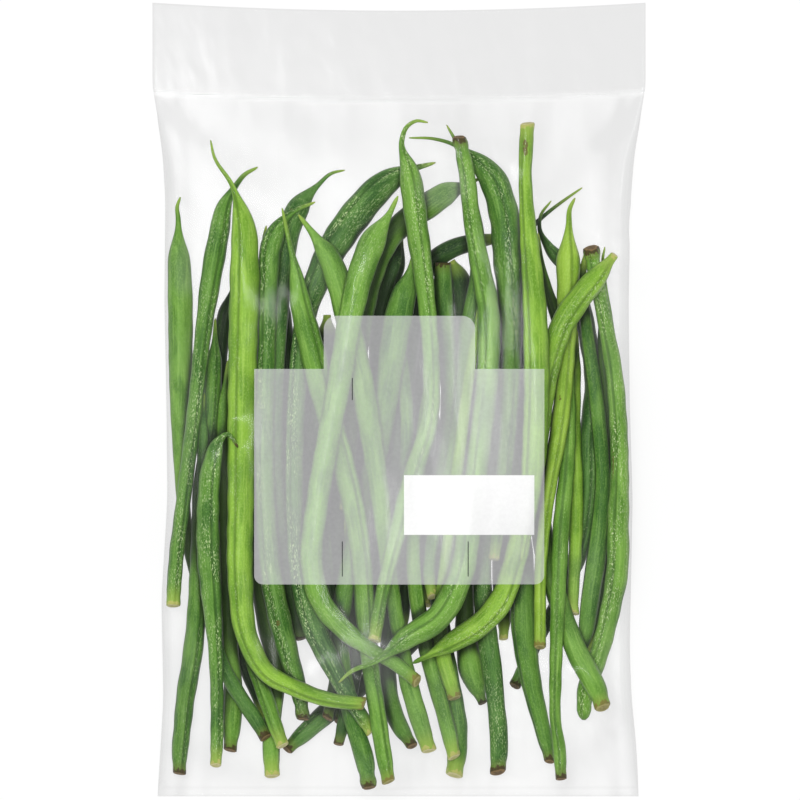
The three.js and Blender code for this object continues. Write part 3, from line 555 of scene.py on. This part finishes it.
def pod_material(name, tone, ends, beak, flecked, number):
    """Waxy green skin with its patterns, painted shade and glints, its marks and its coloured ends.
    """
    paint = Paint(name)
    shift = [number * by for by in PATTERN_SHIFT]
    skin = paint.vector_math("ADD", paint.attribute("skin"), shift)
    seen = {
        pattern: paint.noise(skin, (along, across, across), detail, roughness)
        for pattern, (along, across, detail, roughness) in PATTERNS.items()
    }
    thin_end, stem_end = ends
    from_thin, from_stem, face = paint.split(paint.attribute("ends"))
    suture, depth, spot = paint.split(paint.attribute("marks"))
    colour = pod_skin_colour(paint, seen, tone, flecked, suture, depth)
    colour = pod_end_colour(paint, seen, colour, from_thin, thin_end, beak)
    colour = pod_end_colour(paint, seen, colour, from_stem, stem_end)
    colour = pod_cut_colour(paint, seen, colour, face, stem_end)
    mark = paint.times(spot, paint.step(seen["torn"], *SPOT_TORN_RANGE))
    colour = paint.mix(paint.step(mark, *SPOT_RANGE), colour, linear(SPOT))

    rough = paint.step(seen["stipple"], *SKIN_ROUGHNESS)
    rough = paint.plus(rough, paint.times(face, CUT_ROUGHER), clamp=True)
    normal = paint.bump(seen["fibre"], FIBRE_DEPTH, RELIEF)
    normal = paint.bump(seen["grain"], GRAIN_DEPTH, RELIEF, normal)
    paint.feed_shader(
        Base_Color=colour, Roughness=rough, Specular_IOR_Level=SKIN_GLOSS, Normal=normal
    )
    return paint.material


def film_material():
    """Thin clear film, glossy, with painted shade in its folds and at its sides, and painted pale
    sheen in places.
    """
    paint = Paint("clear_film")
    place = paint.place()
    shade_and_seal_grey, haze, header = paint.split(paint.attribute("film"))
    seen = {
        pattern: paint.noise(place, (x, y, z), detail, roughness)
        for pattern, (x, y, z, detail, roughness) in FILM_PATTERNS.items()
    }

    tilt = paint.add("ShaderNodeLayerWeight", {"Blend": 0.5}).outputs["Facing"]
    grey = paint.plus(shade_and_seal_grey, paint.step(tilt, *TILT_GREY))
    grey = paint.plus(grey, paint.step(seen["cloud"], *CLOUD_GREY), clamp=True)
    tint = paint.mix(grey, linear(CLEAR_TINT), linear(GREY_TINT))
    tint = paint.mix(header, tint, linear(HEADER_TINT))
    share = paint.plus(paint.times(haze, HAZE_COVER), paint.times(shade_and_seal_grey, GREY_COVER), clamp=True)

    normal = paint.bump(seen["crinkle"], CRINKLE_DEPTH, CRINKLE_RELIEF)
    normal = paint.bump(seen["fine"], FINE_DEPTH, FINE_RELIEF, normal)
    paint.feed_shader(
        Base_Color=linear(HAZE_COLOUR),
        Roughness=HAZE_ROUGHNESS,
        Specular_IOR_Level=HAZE_GLOSS,
        Normal=normal,
    )
    clear = paint.add("ShaderNodeBsdfTransparent", {"Color": tint}).outputs[0]
    glossy = {"Roughness": GLOSS_ROUGHNESS, "Normal": normal}
    gloss = paint.add("ShaderNodeBsdfGlossy", glossy).outputs[0]
    shine = paint.add("ShaderNodeFresnel", {"IOR": GLOSS_INDEX}).outputs[0]
    shine = paint.math("MINIMUM", shine, MOST_GLOSS)
    hazy = paint.mix_shaders(share, clear, paint.shader.outputs[0])
    paint.feed(paint.output.inputs["Surface"], paint.mix_shaders(shine, hazy, gloss))
    return paint.material


def ink_material(name):
    """A flat layer of ink that hides a share of what is under it."""
    colour, cover = INKS[name]
    paint = Paint(name)
    speck = paint.noise(paint.place(), *INK_SPECKS)
    speckled = linear([c - INK_UNEVEN for c in colour])
    tint = paint.mix(paint.step(speck, *SPECK_RANGE), speckled, linear(colour))
    hides = paint.step(speck, *COVER_RANGE, cover - COVER_UNEVEN, cover + COVER_UNEVEN)
    paint.feed_shader(Base_Color=tint, Roughness=INK_ROUGHNESS, Alpha=hides)
    return paint.material


# Centre lines: rows of x, y, z and radius, thin end first.
def corners_of(node):
    mesh = frame["nodes"][node].data
    corners = np.empty(3 * len(mesh.vertices))
    mesh.vertices.foreach_get("co", corners)
    return corners.reshape(-1, 3) / MM


def neighbours_of(node, corners):
    """Which corners of a solid share an edge, with those in one place taken as one."""
    tree = KDTree(len(corners))
    for i, p in enumerate(corners):
        tree.insert(p, i)
    tree.balance()
    same = np.full(len(corners), -1)
    for i, p in enumerate(corners):
        if same[i] < 0:
            for _, j, _ in tree.find_range(p, WELD):
                same[j] = i if same[j] < 0 else same[j]
    beside = {}
    for edge in frame["nodes"][node].data.edges:
        a, b = (int(same[v]) for v in edge.vertices)
        if a != b:
            beside.setdefault(a, set()).add(b)
            beside.setdefault(b, set()).add(a)
    return beside


def rings_of(node, number):
    """The centre line through the rings of a pod's solid, from its thin end."""
    corners = corners_of(node)
    beside = neighbours_of(node, corners)
    apex = next(i for i in sorted(beside) if len(beside[i]) == SOLID_SIDES)
    seen = {apex}
    layer = {apex}
    line = []
    while layer:
        points = corners[sorted(layer)]
        centre = points.mean(0)
        radius = np.linalg.norm(points - centre, axis=1).mean() / SOLID_EASE
        line.append([*centre, radius])
        layer = set().union(*(beside[i] for i in layer)) - seen
        seen |= layer
    line = np.array(line)
    line[:, 3] *= listed(FULLER, number, ALL_FULLER)
    if line[1, 3] > line[-2, 3]:
        line = line[::-1]
    line[0, 3] = (BLUNT_END if line[1, 3] > BLUNT else BEAK_END) * line[1, 3]
    line[-1, 3] = STEM_END * line[-2, 3]
    return line


def smooth_line(line):
    """A smooth curve through a line, cut into even steps, with the run to each."""
    chord = np.linalg.norm(np.diff(line[:, :3], axis=0), axis=1)
    at = np.concatenate([[0], np.cumsum(chord)])
    slope = np.gradient(line, at, axis=0)
    fine = np.linspace(0, at[-1], CURVE_STEPS)
    k = np.clip(np.searchsorted(at, fine, side="right") - 1, 0, len(at) - 2)
    h = (at[k + 1] - at[k])[:, None]
    t = (fine - at[k])[:, None] / h
    curve = (
        (2 * t**3 - 3 * t**2 + 1) * line[k]
        + (t**3 - 2 * t**2 + t) * h * slope[k]
        + (3 * t**2 - 2 * t**3) * line[k + 1]
        + (t**3 - t**2) * h * slope[k + 1]
    )
    run = np.linalg.norm(np.diff(curve[:, :3], axis=0), axis=1)
    run = np.concatenate([[0], np.cumsum(run)])
    even = np.linspace(0, run[-1], STATIONS)
    return even, np.stack([np.interp(even, run, curve[:, i]) for i in range(4)], axis=1)


def beaked(number, run, line):
    """A line whose thin end is drawn out to a beak, unless that end is a blunt one."""
    if line[0, 3] > BLUNT_TIP:
        return line
    length, width, shoulder = BEAKS.get(number, PLAIN_BEAK)
    tip = width / 2 * (BEAK_TIP + (1 - BEAK_TIP) * np.sqrt(ramp(run, length)))
    full = np.maximum(line[:, 3], tip)
    line = line.copy()
    line[:, 3] = tip + (full - tip) * smooth_step(run, BEAK_HELD * length, length + shoulder)
    return line


# Heights over the pile of pods.
def cover(xs, ys, lines, clearance):
    """The height of the highest pod over each point of a grid, and 0 where there is none."""
    columns = xs.shape[1]
    least = np.zeros(xs.shape)
    for line in lines:
        for x, y, z, r in line:
            ball = r + clearance
            near = np.abs(ys[:, 0] - y) < ball
            if not near.any():
                continue
            j = np.flatnonzero(near)
            i0 = max(0, int(np.searchsorted(xs[j[0]], x - ball)) - 1)
            i1 = min(columns, int(np.searchsorted(xs[j[0]], x + ball)) + 1)
            flat = (xs[j, i0:i1] - x) ** 2 + (ys[j, i0:i1] - y) ** 2
            top = z + np.sqrt(np.maximum(ball * ball - flat, 0))
            higher = np.maximum(least[j, i0:i1], top)
            least[j, i0:i1] = np.where(flat < ball * ball, higher, least[j, i0:i1])
    return least


def blurred(tops, axis):
    """A height map with each cell's running mean along one axis."""
    size = 2 * MAP_BLUR + 1
    ends = [(MAP_BLUR, MAP_BLUR) if a == axis else (0, 0) for a in (0, 1)]
    total = np.cumsum(np.pad(tops, ends, mode="edge"), axis=axis)
    total = np.insert(total, 0, 0, axis=axis)
    high = np.take(total, range(size, total.shape[axis]), axis=axis)
    low = np.take(total, range(0, total.shape[axis] - size), axis=axis)
    return (high - low) / size


def between_cells(grid, i, j):
    """A grid's values at fractional columns i and rows j."""
    i0, j0 = np.int64(i), np.int64(j)
    fi, fj = i - i0, j - j0
    low = grid[j0, i0] * (1 - fi) + grid[j0, i0 + 1] * fi
    high = grid[j0 + 1, i0] * (1 - fi) + grid[j0 + 1, i0 + 1] * fi
    return low * (1 - fj) + high * fj


def depth_map(lines):
    """A function that tells how far points lie below the pods around them."""
    x = np.arange(-MAP_HALF_WIDTH, MAP_HALF_WIDTH, MAP_PITCH)
    y = np.arange(-MAP_HALF_LENGTH, MAP_HALF_LENGTH, MAP_PITCH)
    tops = cover(*np.meshgrid(x, y), lines, 0.0)
    for _ in range(MAP_BLURS):
        for axis in (0, 1):
            tops = blurred(tops, axis)

    def depth(points):
        i = np.clip((points[:, 0] + MAP_HALF_WIDTH) / MAP_PITCH, 0, len(x) - 2)
        j = np.clip((points[:, 1] + MAP_HALF_LENGTH) / MAP_PITCH, 0, len(y) - 2)
        return between_cells(tops, i, j) - points[:, 2]

    return depth


# Meshes.
def mesh_object(name, points, faces, material, attributes=()):
    """A smooth mesh from points in millimetres, with its vectors at each point."""
    mesh = bpy.data.meshes.new(name)
    mesh.from_pydata((np.asarray(points) * MM).tolist(), [], faces)
    mesh.polygons.foreach_set("use_smooth", [True] * len(mesh.polygons))
    for key, values in attributes:
        made = mesh.attributes.new(key, "FLOAT_VECTOR", "POINT")
        made.data.foreach_set("vector", np.asarray(values, np.float32).ravel())
    mesh.materials.append(material)
    mesh.update()
    return linked(name, mesh)


def linked(name, data):
    """An object of this data, in the scene."""
    made = bpy.data.objects.new(name, data)
    bpy.context.scene.collection.objects.link(made)
    return made


def grid_faces(rows, columns, closed=False):
    """Quads over a grid of points; closed joins the last column to the first."""
    faces = []
    last = columns if closed else columns - 1
    for j in range(rows - 1):
        low, high = j * columns, (j + 1) * columns
        for i in range(last):
            k = (i + 1) % columns
            faces.append((low + i, low + k, high + k, high + i))
    return faces


# Pods.
class Pod:
    """One pod: its rings of points round its centre line, and what is painted on them."""

    def __init__(self, number, run, line):
        self.number = number
        self.run = run
        self.to_stem = run[-1] - run
        self.centre = line[:, :3]
        self.radius = line[:, 3]
        self.ahead = np.gradient(self.centre, run, axis=0)
        self.ahead /= np.linalg.norm(self.ahead, axis=1)[:, None]
        self.side = np.cross(self.ahead, (0, 0, 1))
        self.side /= np.linalg.norm(self.side, axis=1)[:, None]
        self.top = np.cross(self.side, self.ahead)
        self.draw_lots()
        self.lay_rings()
        self.turn_rings()
        self.measure()

    def draw_lots(self):
        """How this pod differs from the others by chance."""
        rng = np.random.default_rng(self.number)
        self.roll = rng.uniform(0, FULL_TURN)
        self.twist = rng.uniform(-TWIST, TWIST)
        self.phase = rng.uniform(0, FULL_TURN)
        self.slant = rng.uniform(*SLANT)
        self.slant_way = SLANT_WAY + rng.uniform(-SLANT_SPREAD, SLANT_SPREAD)
        if self.number in GROOVES:
            right = -np.sign(self.side[:, 0].mean())
            self.roll = math.pi / 2 + right * math.radians(GROOVES[self.number])
            self.twist *= GROOVED_TWIST

    def lay_rings(self):
        """One ring at each station, then those that round off the cut face."""
        last = STATIONS - 1
        rings = [(k, 1.0, 0.0, 0.0) for k in range(STATIONS)]
        rings += [(last, *ring) for ring in CUT_RINGS]
        self.rows = len(rings)
        self.station = np.array([ring[0] for ring in rings])
        columns = (np.array([ring[n] for ring in rings])[:, None] for n in (1, 2, 3))
        self.share, self.bulge, self.face = columns

    def at_rings(self, values):
        """Values at the stations as a column with one for each ring."""
        return values[self.station][:, None]

    def turn_rings(self):
        """Angles round each ring from the groove, and from the pod's side."""
        turned = np.linspace(0, FULL_TURN, AROUND, endpoint=False)
        self.turned = np.tile(turned - CROWDING * np.sin(turned), (self.rows, 1))
        self.away = np.minimum(self.turned, FULL_TURN - self.turned)
        twisted = self.twist * self.at_rings(self.run) / self.run[-1]
        self.angle = self.turned + self.roll + twisted

    def seeds(self):
        """How far the seeds push out the skin at each station."""
        inner = ramp(self.run, SEEDLESS_BEAK) * ramp(self.to_stem, SEEDLESS_STEM)
        stretch = self.run + SEED_DRIFT * np.sin(self.run * DRIFT_RATE + self.phase)
        return SEED_SWELL * inner * np.sin(FULL_TURN * stretch / SEED_SPACING + self.phase)

    def neck(self):
        """How the pod narrows and widens before its stem end."""
        swellings = CAPPED_NECK if self.number in CAPPED else NECK
        return 1 + sum(swell * bell(self.to_stem - at, width) for swell, at, width in swellings)

    def rim_waves(self):
        """How uneven the skin is round the stem end."""
        waves = CAPPED_RIM_WAVES if self.number in CAPPED else RIM_WAVES
        uneven = sum(
            swell * np.sin(count * self.angle + way * self.phase) for count, way, swell in waves
        )
        return uneven * self.at_rings(bell(self.to_stem, RIM_WAVE_REACH))

    def measure(self):
        """The skin's distance from the centre line, and how far its cut end leans."""
        r = self.at_rings(self.radius * self.neck())
        groove = SUTURE_DEPTH * ramp(r, SUTURE_RADIUS) * bell(self.away, SUTURE_HALF_WIDTH)
        lips = LIP_RISE * bell(self.away - LIP_PLACE, SUTURE_HALF_WIDTH)
        seeds_show = SEEDS_AT_GROOVE + (1 - SEEDS_AT_GROOVE) * np.sin(self.turned) ** 2
        seeds = self.at_rings(self.seeds()) * seeds_show
        oval = OVAL * np.cos(2 * self.turned)
        self.thickness = r
        self.size = r * (1 + seeds + oval + lips - groove + self.rim_waves()) * self.share
        leaning = self.slant * self.size * (np.cos(self.angle - self.slant_way) - SLANT_MIDDLE)
        leaning = leaning * self.at_rings(bell(self.to_stem, SLANT_REACH))
        self.past = self.bulge * self.radius[-1] + leaning

    def points(self):
        centre, ahead, side, top = (
            part[self.station][:, None, :] for part in (self.centre, self.ahead, self.side, self.top)
        )
        across = (self.size * np.cos(self.angle))[..., None]
        up = (self.size * np.sin(self.angle))[..., None]
        return (centre + self.past[..., None] * ahead + across * side + up * top).reshape(-1, 3)

    def skin(self):
        """Places on the skin for its patterns: along the pod, and round it."""
        round_it = self.thickness * self.share
        along = self.at_rings(self.run) + self.past
        return np.stack([along, round_it * np.cos(self.angle), round_it * np.sin(self.angle)], -1)

    def ends(self):
        """Distances from both ends, and how far into the cut face."""
        flat = np.ones_like(self.angle)
        columns = (self.at_rings(self.run), self.at_rings(self.to_stem), self.face)
        return np.stack([flat * column for column in columns], -1)

    def marks(self, points, depth):
        """Distances from the groove, painted shade where the skin lies deep or low on its pod, and
        its brown marks.
        """
        over_centre = (points - self.centre[self.station].repeat(AROUND, axis=0))[:, 2]
        thick = np.repeat(np.maximum(self.radius[self.station], LEAST_RADIUS), AROUND)
        # painted shade on the lower side of each pod
        lower_side_shade = LOWER_SIDE_SHADE * smooth_step(1 - over_centre / thick, *LOWER_SHADE_RANGE)
        # painted shade where the skin lies below the pods around it, or low on its own pod
        painted_shade = np.maximum(smooth_step(depth(points), *DEEP_SHADE_RANGE), lower_side_shade)
        spot = np.zeros(len(points))
        for x, y, half_width, half_length in SPOTS.get(self.number, ()):
            mark = bell(points[:, 1] - y, half_length) * bell(points[:, 0] - x, half_width)
            spot = np.maximum(spot, mark * (over_centre > 0))
        return np.stack([(self.away * self.thickness).ravel(), painted_shade, spot], -1)

    def faces(self):
        faces = grid_faces(self.rows, AROUND, closed=True)
        faces.append(tuple(range(AROUND - 1, -1, -1)))
        faces.append(tuple((self.rows - 1) * AROUND + i for i in range(AROUND)))
        return [f[::-1] for f in faces]


def slot_of(node):
    """The material slot that the record gives a node."""
    return next(s["material_slot"] for s in frame["record"]["subparts"] if s["node"] == node)


def add_pod(node, number, run, line, depth):
    """One pod's skin round its centre line."""
    pod = Pod(number, run, line)
    points = pod.points()
    slot = slot_of(node)
    tone = listed(SHADES, number, slot.removeprefix("pod_"))
    ends = listed(END_PAIRS, number, PLAIN_PAIR)
    beak = BEAKS.get(number, PLAIN_BEAK)[0]
    flecked = listed(FLECKS, number, PLAIN_FLECKS)
    material = pod_material(f"{node}_skin", tone, ends, beak, flecked, number)
    attributes = (("skin", pod.skin()), ("ends", pod.ends()), ("marks", pod.marks(points, depth)))
    made = mesh_object(f"bean_{number:02d}", points, pod.faces(), material, attributes)
    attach(made, "root")
    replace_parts(made, node)


# The bag.
def smoothed(values):
    """The running mean of a row of values, which keeps its ends."""
    count = 2 * EDGE_SMOOTHING + 1
    wide = np.pad(values, EDGE_SMOOTHING, mode="edge")
    return np.convolve(wide, np.full(count, 1 / count), "valid")


def least_reach(y):
    """Corners of the bag's side that reach less far out than this aren't on its edge."""
    if y > HEADER_FOOT_Y:
        return HEADER_REACH
    return POCKET_REACH if y > FOOT_Y else FOOT_REACH


def side_edge(corners, sign):
    """One side edge of the bag's solid, as y and x."""
    outer = corners[(corners[:, 2] > EDGE_Z) & (sign * corners[:, 0] > SIDE_SEARCH)]
    edge = []
    for y in sorted(set(np.round(outer[:, 1], 1))):
        reach = max(sign * outer[np.abs(outer[:, 1] - y) < SAME_ROW][:, 0])
        if reach > least_reach(y):
            edge.append((y, sign * reach))
    return np.array(edge).T


def top_edge(corners):
    """The top edge of the bag's solid, as x and y."""
    header = corners[corners[:, 1] > TOP_SEARCH]
    xs = sorted(set(np.round(header[:, 0], 1)))
    return np.array(xs), [max(header[np.abs(header[:, 0] - x) < SAME_ROW][:, 1]) for x in xs]


class FilmGrid:
    """A grid of points over the bag: rows from its foot up, columns from its left."""

    def __init__(self):
        corners = corners_of("bag_film")
        self.upper = top_edge(corners)
        self.bottom = corners[:, 1].min()
        self.top = float(np.max(self.upper[1]))
        self.share = np.linspace(0, 1, FILM_COLUMNS)
        self.y = self.bottom + (self.top - self.bottom) * np.linspace(0, 1, FILM_ROWS)
        self.left = smoothed(np.interp(self.y, *side_edge(corners, -1)))
        self.right = smoothed(np.interp(self.y, *side_edge(corners, 1)))
        self.xs = self.across(self.left, self.right)
        self.ys = np.repeat(self.y[:, None], FILM_COLUMNS, axis=1)
        self.from_left = self.xs - self.left[:, None]
        self.from_right = self.right[:, None] - self.xs
        self.seam_row = int(np.flatnonzero(self.y >= SEAM_Y)[0])

    def across(self, left, right):
        return left[:, None] + (right - left)[:, None] * self.share

    def points(self, xs, heights):
        """The grid's points at these heights, with the header cut to its top edge."""
        dip = self.top - np.interp(self.xs, *self.upper)
        into_header = ramp(self.ys - SEAM_Y, self.top - SEAM_Y)
        return np.stack([xs, self.ys - dip * into_header, heights], axis=-1).reshape(-1, 3)


def drape(least, start):
    """The front film's heights: it is stretched over the pods and held at its edges."""
    height = np.maximum(least, start)
    for _ in range(RELAX_ROUNDS):
        beside = height[:-2, 1:-1] + height[2:, 1:-1] + height[1:-1, :-2] + height[1:-1, 2:]
        height[1:-1, 1:-1] = np.maximum(least[1:-1, 1:-1], beside / 4)
    return height


def draped_heights(grid, lines):
    """The front film's heights before it folds."""
    start = np.zeros(grid.xs.shape)
    turns = [grid.bottom, grid.bottom + SIDE_RISE, SEAM_Y - SIDE_FALL, SEAM_Y]
    side = np.interp(grid.y, turns, [SEAL_Z, SIDE_Z, SIDE_Z, HEADER_Z])
    start[:, 0] = side
    start[:, -1] = side
    start[0] = SEAL_Z
    start[grid.seam_row] = HEADER_Z
    pocket = slice(0, grid.seam_row + 1)
    least = cover(grid.xs[pocket], grid.ys[pocket], lines, FILM_CLEARANCE)
    height = np.full(grid.xs.shape, HEADER_Z)
    height[pocket] = drape(least, start[pocket])
    height[grid.seam_row:] = HEADER_Z
    return height


def ripple(x, y):
    """The film's soft slack folds, which run mostly along the bag."""
    return sum(
        strength * noise.noise(Vector((x / width, y / length, cut)))
        for width, length, cut, strength in RIPPLES
    )


def stroke(xs, ys, x0, y0, x1, y1, width):
    """1 along a line from point to point, falling softly to both sides."""
    dx, dy = x1 - x0, y1 - y0
    t = np.clip(((xs - x0) * dx + (ys - y0) * dy) / (dx * dx + dy * dy), 0, 1)
    return bell(np.hypot(xs - x0 - t * dx, ys - y0 - t * dy), width)


def fold_strength(grid):
    fold = np.zeros(grid.xs.shape)
    for x0, y0, x1, y1, width, strength in FOLDS:
        fold = np.maximum(fold, strength * stroke(grid.xs, grid.ys, x0, y0, x1, y1, width))
    return fold


def folded_heights(grid, height, slack, fold):
    """The front film's heights with its folds, which die away towards its edges."""
    free = ramp(SEAM_Y - grid.ys, FREE_AT_SEAM) * ramp(grid.ys - grid.bottom, FREE_AT_FOOT)
    free = free * ramp(grid.from_left, FREE_AT_SIDE) * ramp(grid.from_right, FREE_AT_SIDE)
    height = height + (SLACK_RISE * np.abs(slack) + FOLD_RISE * fold) * free
    return height + HELD_SLACK_RISE * slack * (1 - free)


def grey_lines(distance, lines):
    return sum(strength * bell(distance - at, width) for at, width, strength in lines)


def film_looks(grid, slack, fold):
    """How much painted shade (with the seal's grey lines), how much haze with painted sheen and the
    seam's bright line, and how much header the film is at each point of its grid.
    """
    seam_y = SEAM_Y + SEAM_RISE * (grid.xs / grid.right.max()) ** 2
    in_pocket = smooth_step(seam_y - grid.ys, 0.0, SEAM_EDGE)
    side = grey_lines(np.minimum(grid.from_left, grid.from_right), SIDE_LINES)
    seal = grey_lines(grid.ys - grid.bottom, SEAL_LINES)
    first, full = (SEAM_Y - below for below in SEAM_SHADE_RANGE)
    under_seam = SEAM_SHADE * smooth_step(grid.ys, first, full)
    soft = SLACK_GREY * smooth_step(slack, *SLACK_RANGE)
    # painted shade in folds, at the sides, in slack folds and under the seam, with the seal's grey
    # lines
    shade_and_seal_grey = np.clip((fold + side + soft + under_seam) * in_pocket + seal, 0, 1)

    haze = np.zeros(grid.xs.shape)
    # painted pale sheen on the film
    for x, y, half_width, half_length, strength in PAINTED_SHEENS:
        reach = np.hypot((grid.xs - x) / half_width, (grid.ys - y) / half_length)
        haze = np.maximum(haze, strength * smooth_step(-reach, *HAZE_EDGE))
    haze = haze * (1 - HAZE_STREAKS + HAZE_STREAKS * np.clip(slack * STREAK_SHARPNESS, -1, 1))

    rise, width, bright = SEAM_LINE
    seam = bell(grid.ys - seam_y - rise, width)
    header = np.where(grid.ys >= seam_y, 1.0, 0.0) * (1 - seam)
    return np.stack([shade_and_seal_grey, np.maximum(haze, bright * seam), header], axis=-1)


def bag_faces():
    """Quads of the front film, of the back film, and of the borders between."""
    count = FILM_ROWS * FILM_COLUMNS
    faces = grid_faces(FILM_ROWS, FILM_COLUMNS)
    faces += [tuple(count + k for k in f[::-1]) for f in faces]
    rows = [j * FILM_COLUMNS for j in range(FILM_ROWS)]
    borders = (
        (rows, 1),
        ([k + FILM_COLUMNS - 1 for k in rows], -1),
        (list(range(FILM_COLUMNS)), -1),
        (list(range(rows[-1], count)), 1),
    )
    for border, turn in borders:
        for a, b in zip(border, border[1:]):
            faces.append((a, b, count + b, count + a)[::turn])
    return faces


def add_bag(lines):
    """The clear bag round the pods. Gives its grid and the heights of its front film."""
    grid = FilmGrid()
    slack = np.array([[ripple(x, y) for x, y in zip(*row)] for row in zip(grid.xs, grid.ys)])
    fold = fold_strength(grid)
    looks = film_looks(grid, slack, fold)
    height = folded_heights(grid, draped_heights(grid, lines), slack, fold)
    front = grid.points(grid.xs, height)

    tuck = SIDE_TUCK * ramp(SEAM_Y - grid.y, TUCK_AT_SEAM) * ramp(grid.y - grid.bottom, TUCK_AT_FOOT)
    back_xs = grid.across(grid.left + tuck, grid.right - tuck)
    back = grid.points(back_xs, np.full(grid.xs.shape, BACK_Z))
    back_looks = looks * (BACK_GREY, 0, 1)

    points = np.concatenate([front, back])
    attribute = np.concatenate([looks.reshape(-1, 3), back_looks.reshape(-1, 3)])
    made = mesh_object("clear_bag", points, bag_faces(), film_material(), (("film", attribute),))
    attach(made, "root")
    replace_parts(made, "bag_film")
    return grid, height


# The printed field.
def film_height(grid, height, x, y):
    """The front film's height at a point, between its rows and columns."""
    left = np.interp(y, grid.y, grid.left)
    right = np.interp(y, grid.y, grid.right)
    i = (x - left) / (right - left) * (FILM_COLUMNS - 1)
    j = np.interp(y, grid.y, np.arange(FILM_ROWS))
    return between_cells(height, i, j)


def patch(film, rows, lift):
    """Points and faces of a patch on the front film. rows are (y, left, right)."""
    widest = max(right - left for _, left, right in rows)
    columns = max(2, int(widest / PRINT_PITCH) + 1)
    points = []
    for y, left, right in rows:
        for x in np.linspace(left, right, columns):
            points.append((x, y, film_height(*film, x, y) + lift))
    return points, grid_faces(len(rows), columns)


def rounded_rows(left, right, bottom, top, corner_bottom=0, corner_top=0):
    """Rows of a block with round corners at its bottom or top."""
    ys = set(np.linspace(bottom, top, max(2, int((top - bottom) / PRINT_PITCH))).tolist())
    for corner, edge, way in ((corner_bottom, bottom, 1), (corner_top, top, -1)):
        if corner:
            turns = np.linspace(0, math.pi / 2, CORNER_STEPS)
            ys |= {edge + way * corner * (1 - math.cos(turn)) for turn in turns}
    rows = []
    for y in sorted(ys):
        cut = 0.0
        for corner, distance in ((corner_bottom, y - bottom), (corner_top, top - y)):
            if corner and distance < corner:
                cut = corner - math.sqrt(max(0, corner**2 - (corner - distance) ** 2))
        rows.append((y, left + cut, right - cut))
    return rows


def rule_rows(x, low, high):
    left, right = x - RULE_WIDTH / 2, x + RULE_WIDTH / 2
    return [(y, left, right) for y in np.linspace(low, high, RULE_ROWS)]


def ink_piece(name, patches, material):
    """Patches of one ink, joined in one piece."""
    points, faces = [], []
    for some, quads in patches:
        start = len(points)
        points += some
        faces += [tuple(start + k for k in f) for f in quads]
    made = mesh_object(name, points, faces, material)
    made.visible_shadow = False  # so thin a layer casts none on the pods
    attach(made, "root")
    return made


def add_printed_field(film):
    """A tab on a block of grey ink, with a plain pale box and thin rules over it."""
    block = rounded_rows(FIELD_LEFT, FIELD_RIGHT, FIELD_BOTTOM, FIELD_TOP, corner_bottom=FIELD_CORNER)
    tab = rounded_rows(TAB_LEFT, TAB_RIGHT, FIELD_TOP, TAB_TOP, corner_top=TAB_CORNER)
    field = [patch(film, rows, FIELD_LIFT) for rows in (block, tab)]
    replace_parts(ink_piece("field", field, ink_material("field_ink")), "printed_field")
    ink_piece("plain_box", [patch(film, rounded_rows(*BOX), PRINT_LIFT)], ink_material("box_ink"))
    rules = [patch(film, rule_rows(*rule), PRINT_LIFT) for rule in RULES]
    ink_piece("rule_lines", rules, ink_material("rule_ink"))


# The studio.
def add_camera():
    """A camera straight above the bundle, far off with a long lens."""
    data = bpy.data.cameras.new("camera")
    data.sensor_width = SENSOR
    data.lens = LENS
    data.clip_start, data.clip_end = CAMERA_RANGE
    made = linked("camera", data)
    made.location = CAMERA_PLACE
    bpy.context.scene.camera = made


def add_light(name, place, size, power, in_gloss):
    """A soft box aimed at the bundle."""
    light = bpy.data.lights.new(name, "AREA")
    light.shape = "RECTANGLE"
    light.size, light.size_y = size
    light.energy = power
    made = linked(name, light)
    made.location = place
    made.rotation_mode = "QUATERNION"
    made.rotation_quaternion = (-Vector(place)).to_track_quat("-Z", "Y")
    made.visible_glossy = in_gloss


def add_floor():
    """A plain white floor with a faint glow of its own."""
    paint = Paint("floor_white")
    paint.feed_shader(
        Base_Color=(FLOOR_GREY, FLOOR_GREY, FLOOR_GREY, 1),
        Roughness=FLOOR_ROUGHNESS,
        Specular_IOR_Level=0.0,
        Emission_Color=WHITE,
        Emission_Strength=FLOOR_GLOW,
    )
    corners = [
        (FLOOR_HALF_SIZE * x, FLOOR_HALF_SIZE * y, 0) for x, y in ((-1, -1), (1, -1), (1, 1), (-1, 1))
    ]
    mesh = bpy.data.meshes.new("floor")
    mesh.from_pydata(corners, [], [(0, 1, 2, 3)])
    mesh.materials.append(paint.material)
    linked("floor", mesh)


def add_studio():
    add_floor()
    world = bpy.data.worlds.new("studio")
    bpy.context.scene.world = world
    world.use_nodes = True
    background = world.node_tree.nodes["Background"]
    background.inputs[0].default_value = WHITE
    background.inputs[1].default_value = SKY_STRENGTH
    for name, light in LIGHTS.items():
        add_light(name, *light)
    bpy.context.scene.view_settings.view_transform = "Standard"


add_camera()
nodes = sorted(name for name in frame["nodes"] if name.startswith("pod_"))
runs, lines = [], []
for number, node in enumerate(nodes, start=1):
    run, line = smooth_line(rings_of(node, number))
    runs.append(run)
    lines.append(beaked(number, run, line))
depth = depth_map(lines)
for number, (node, run, line) in enumerate(zip(nodes, runs, lines), start=1):
    add_pod(node, number, run, line, depth)
add_printed_field(add_bag(lines))
add_studio()
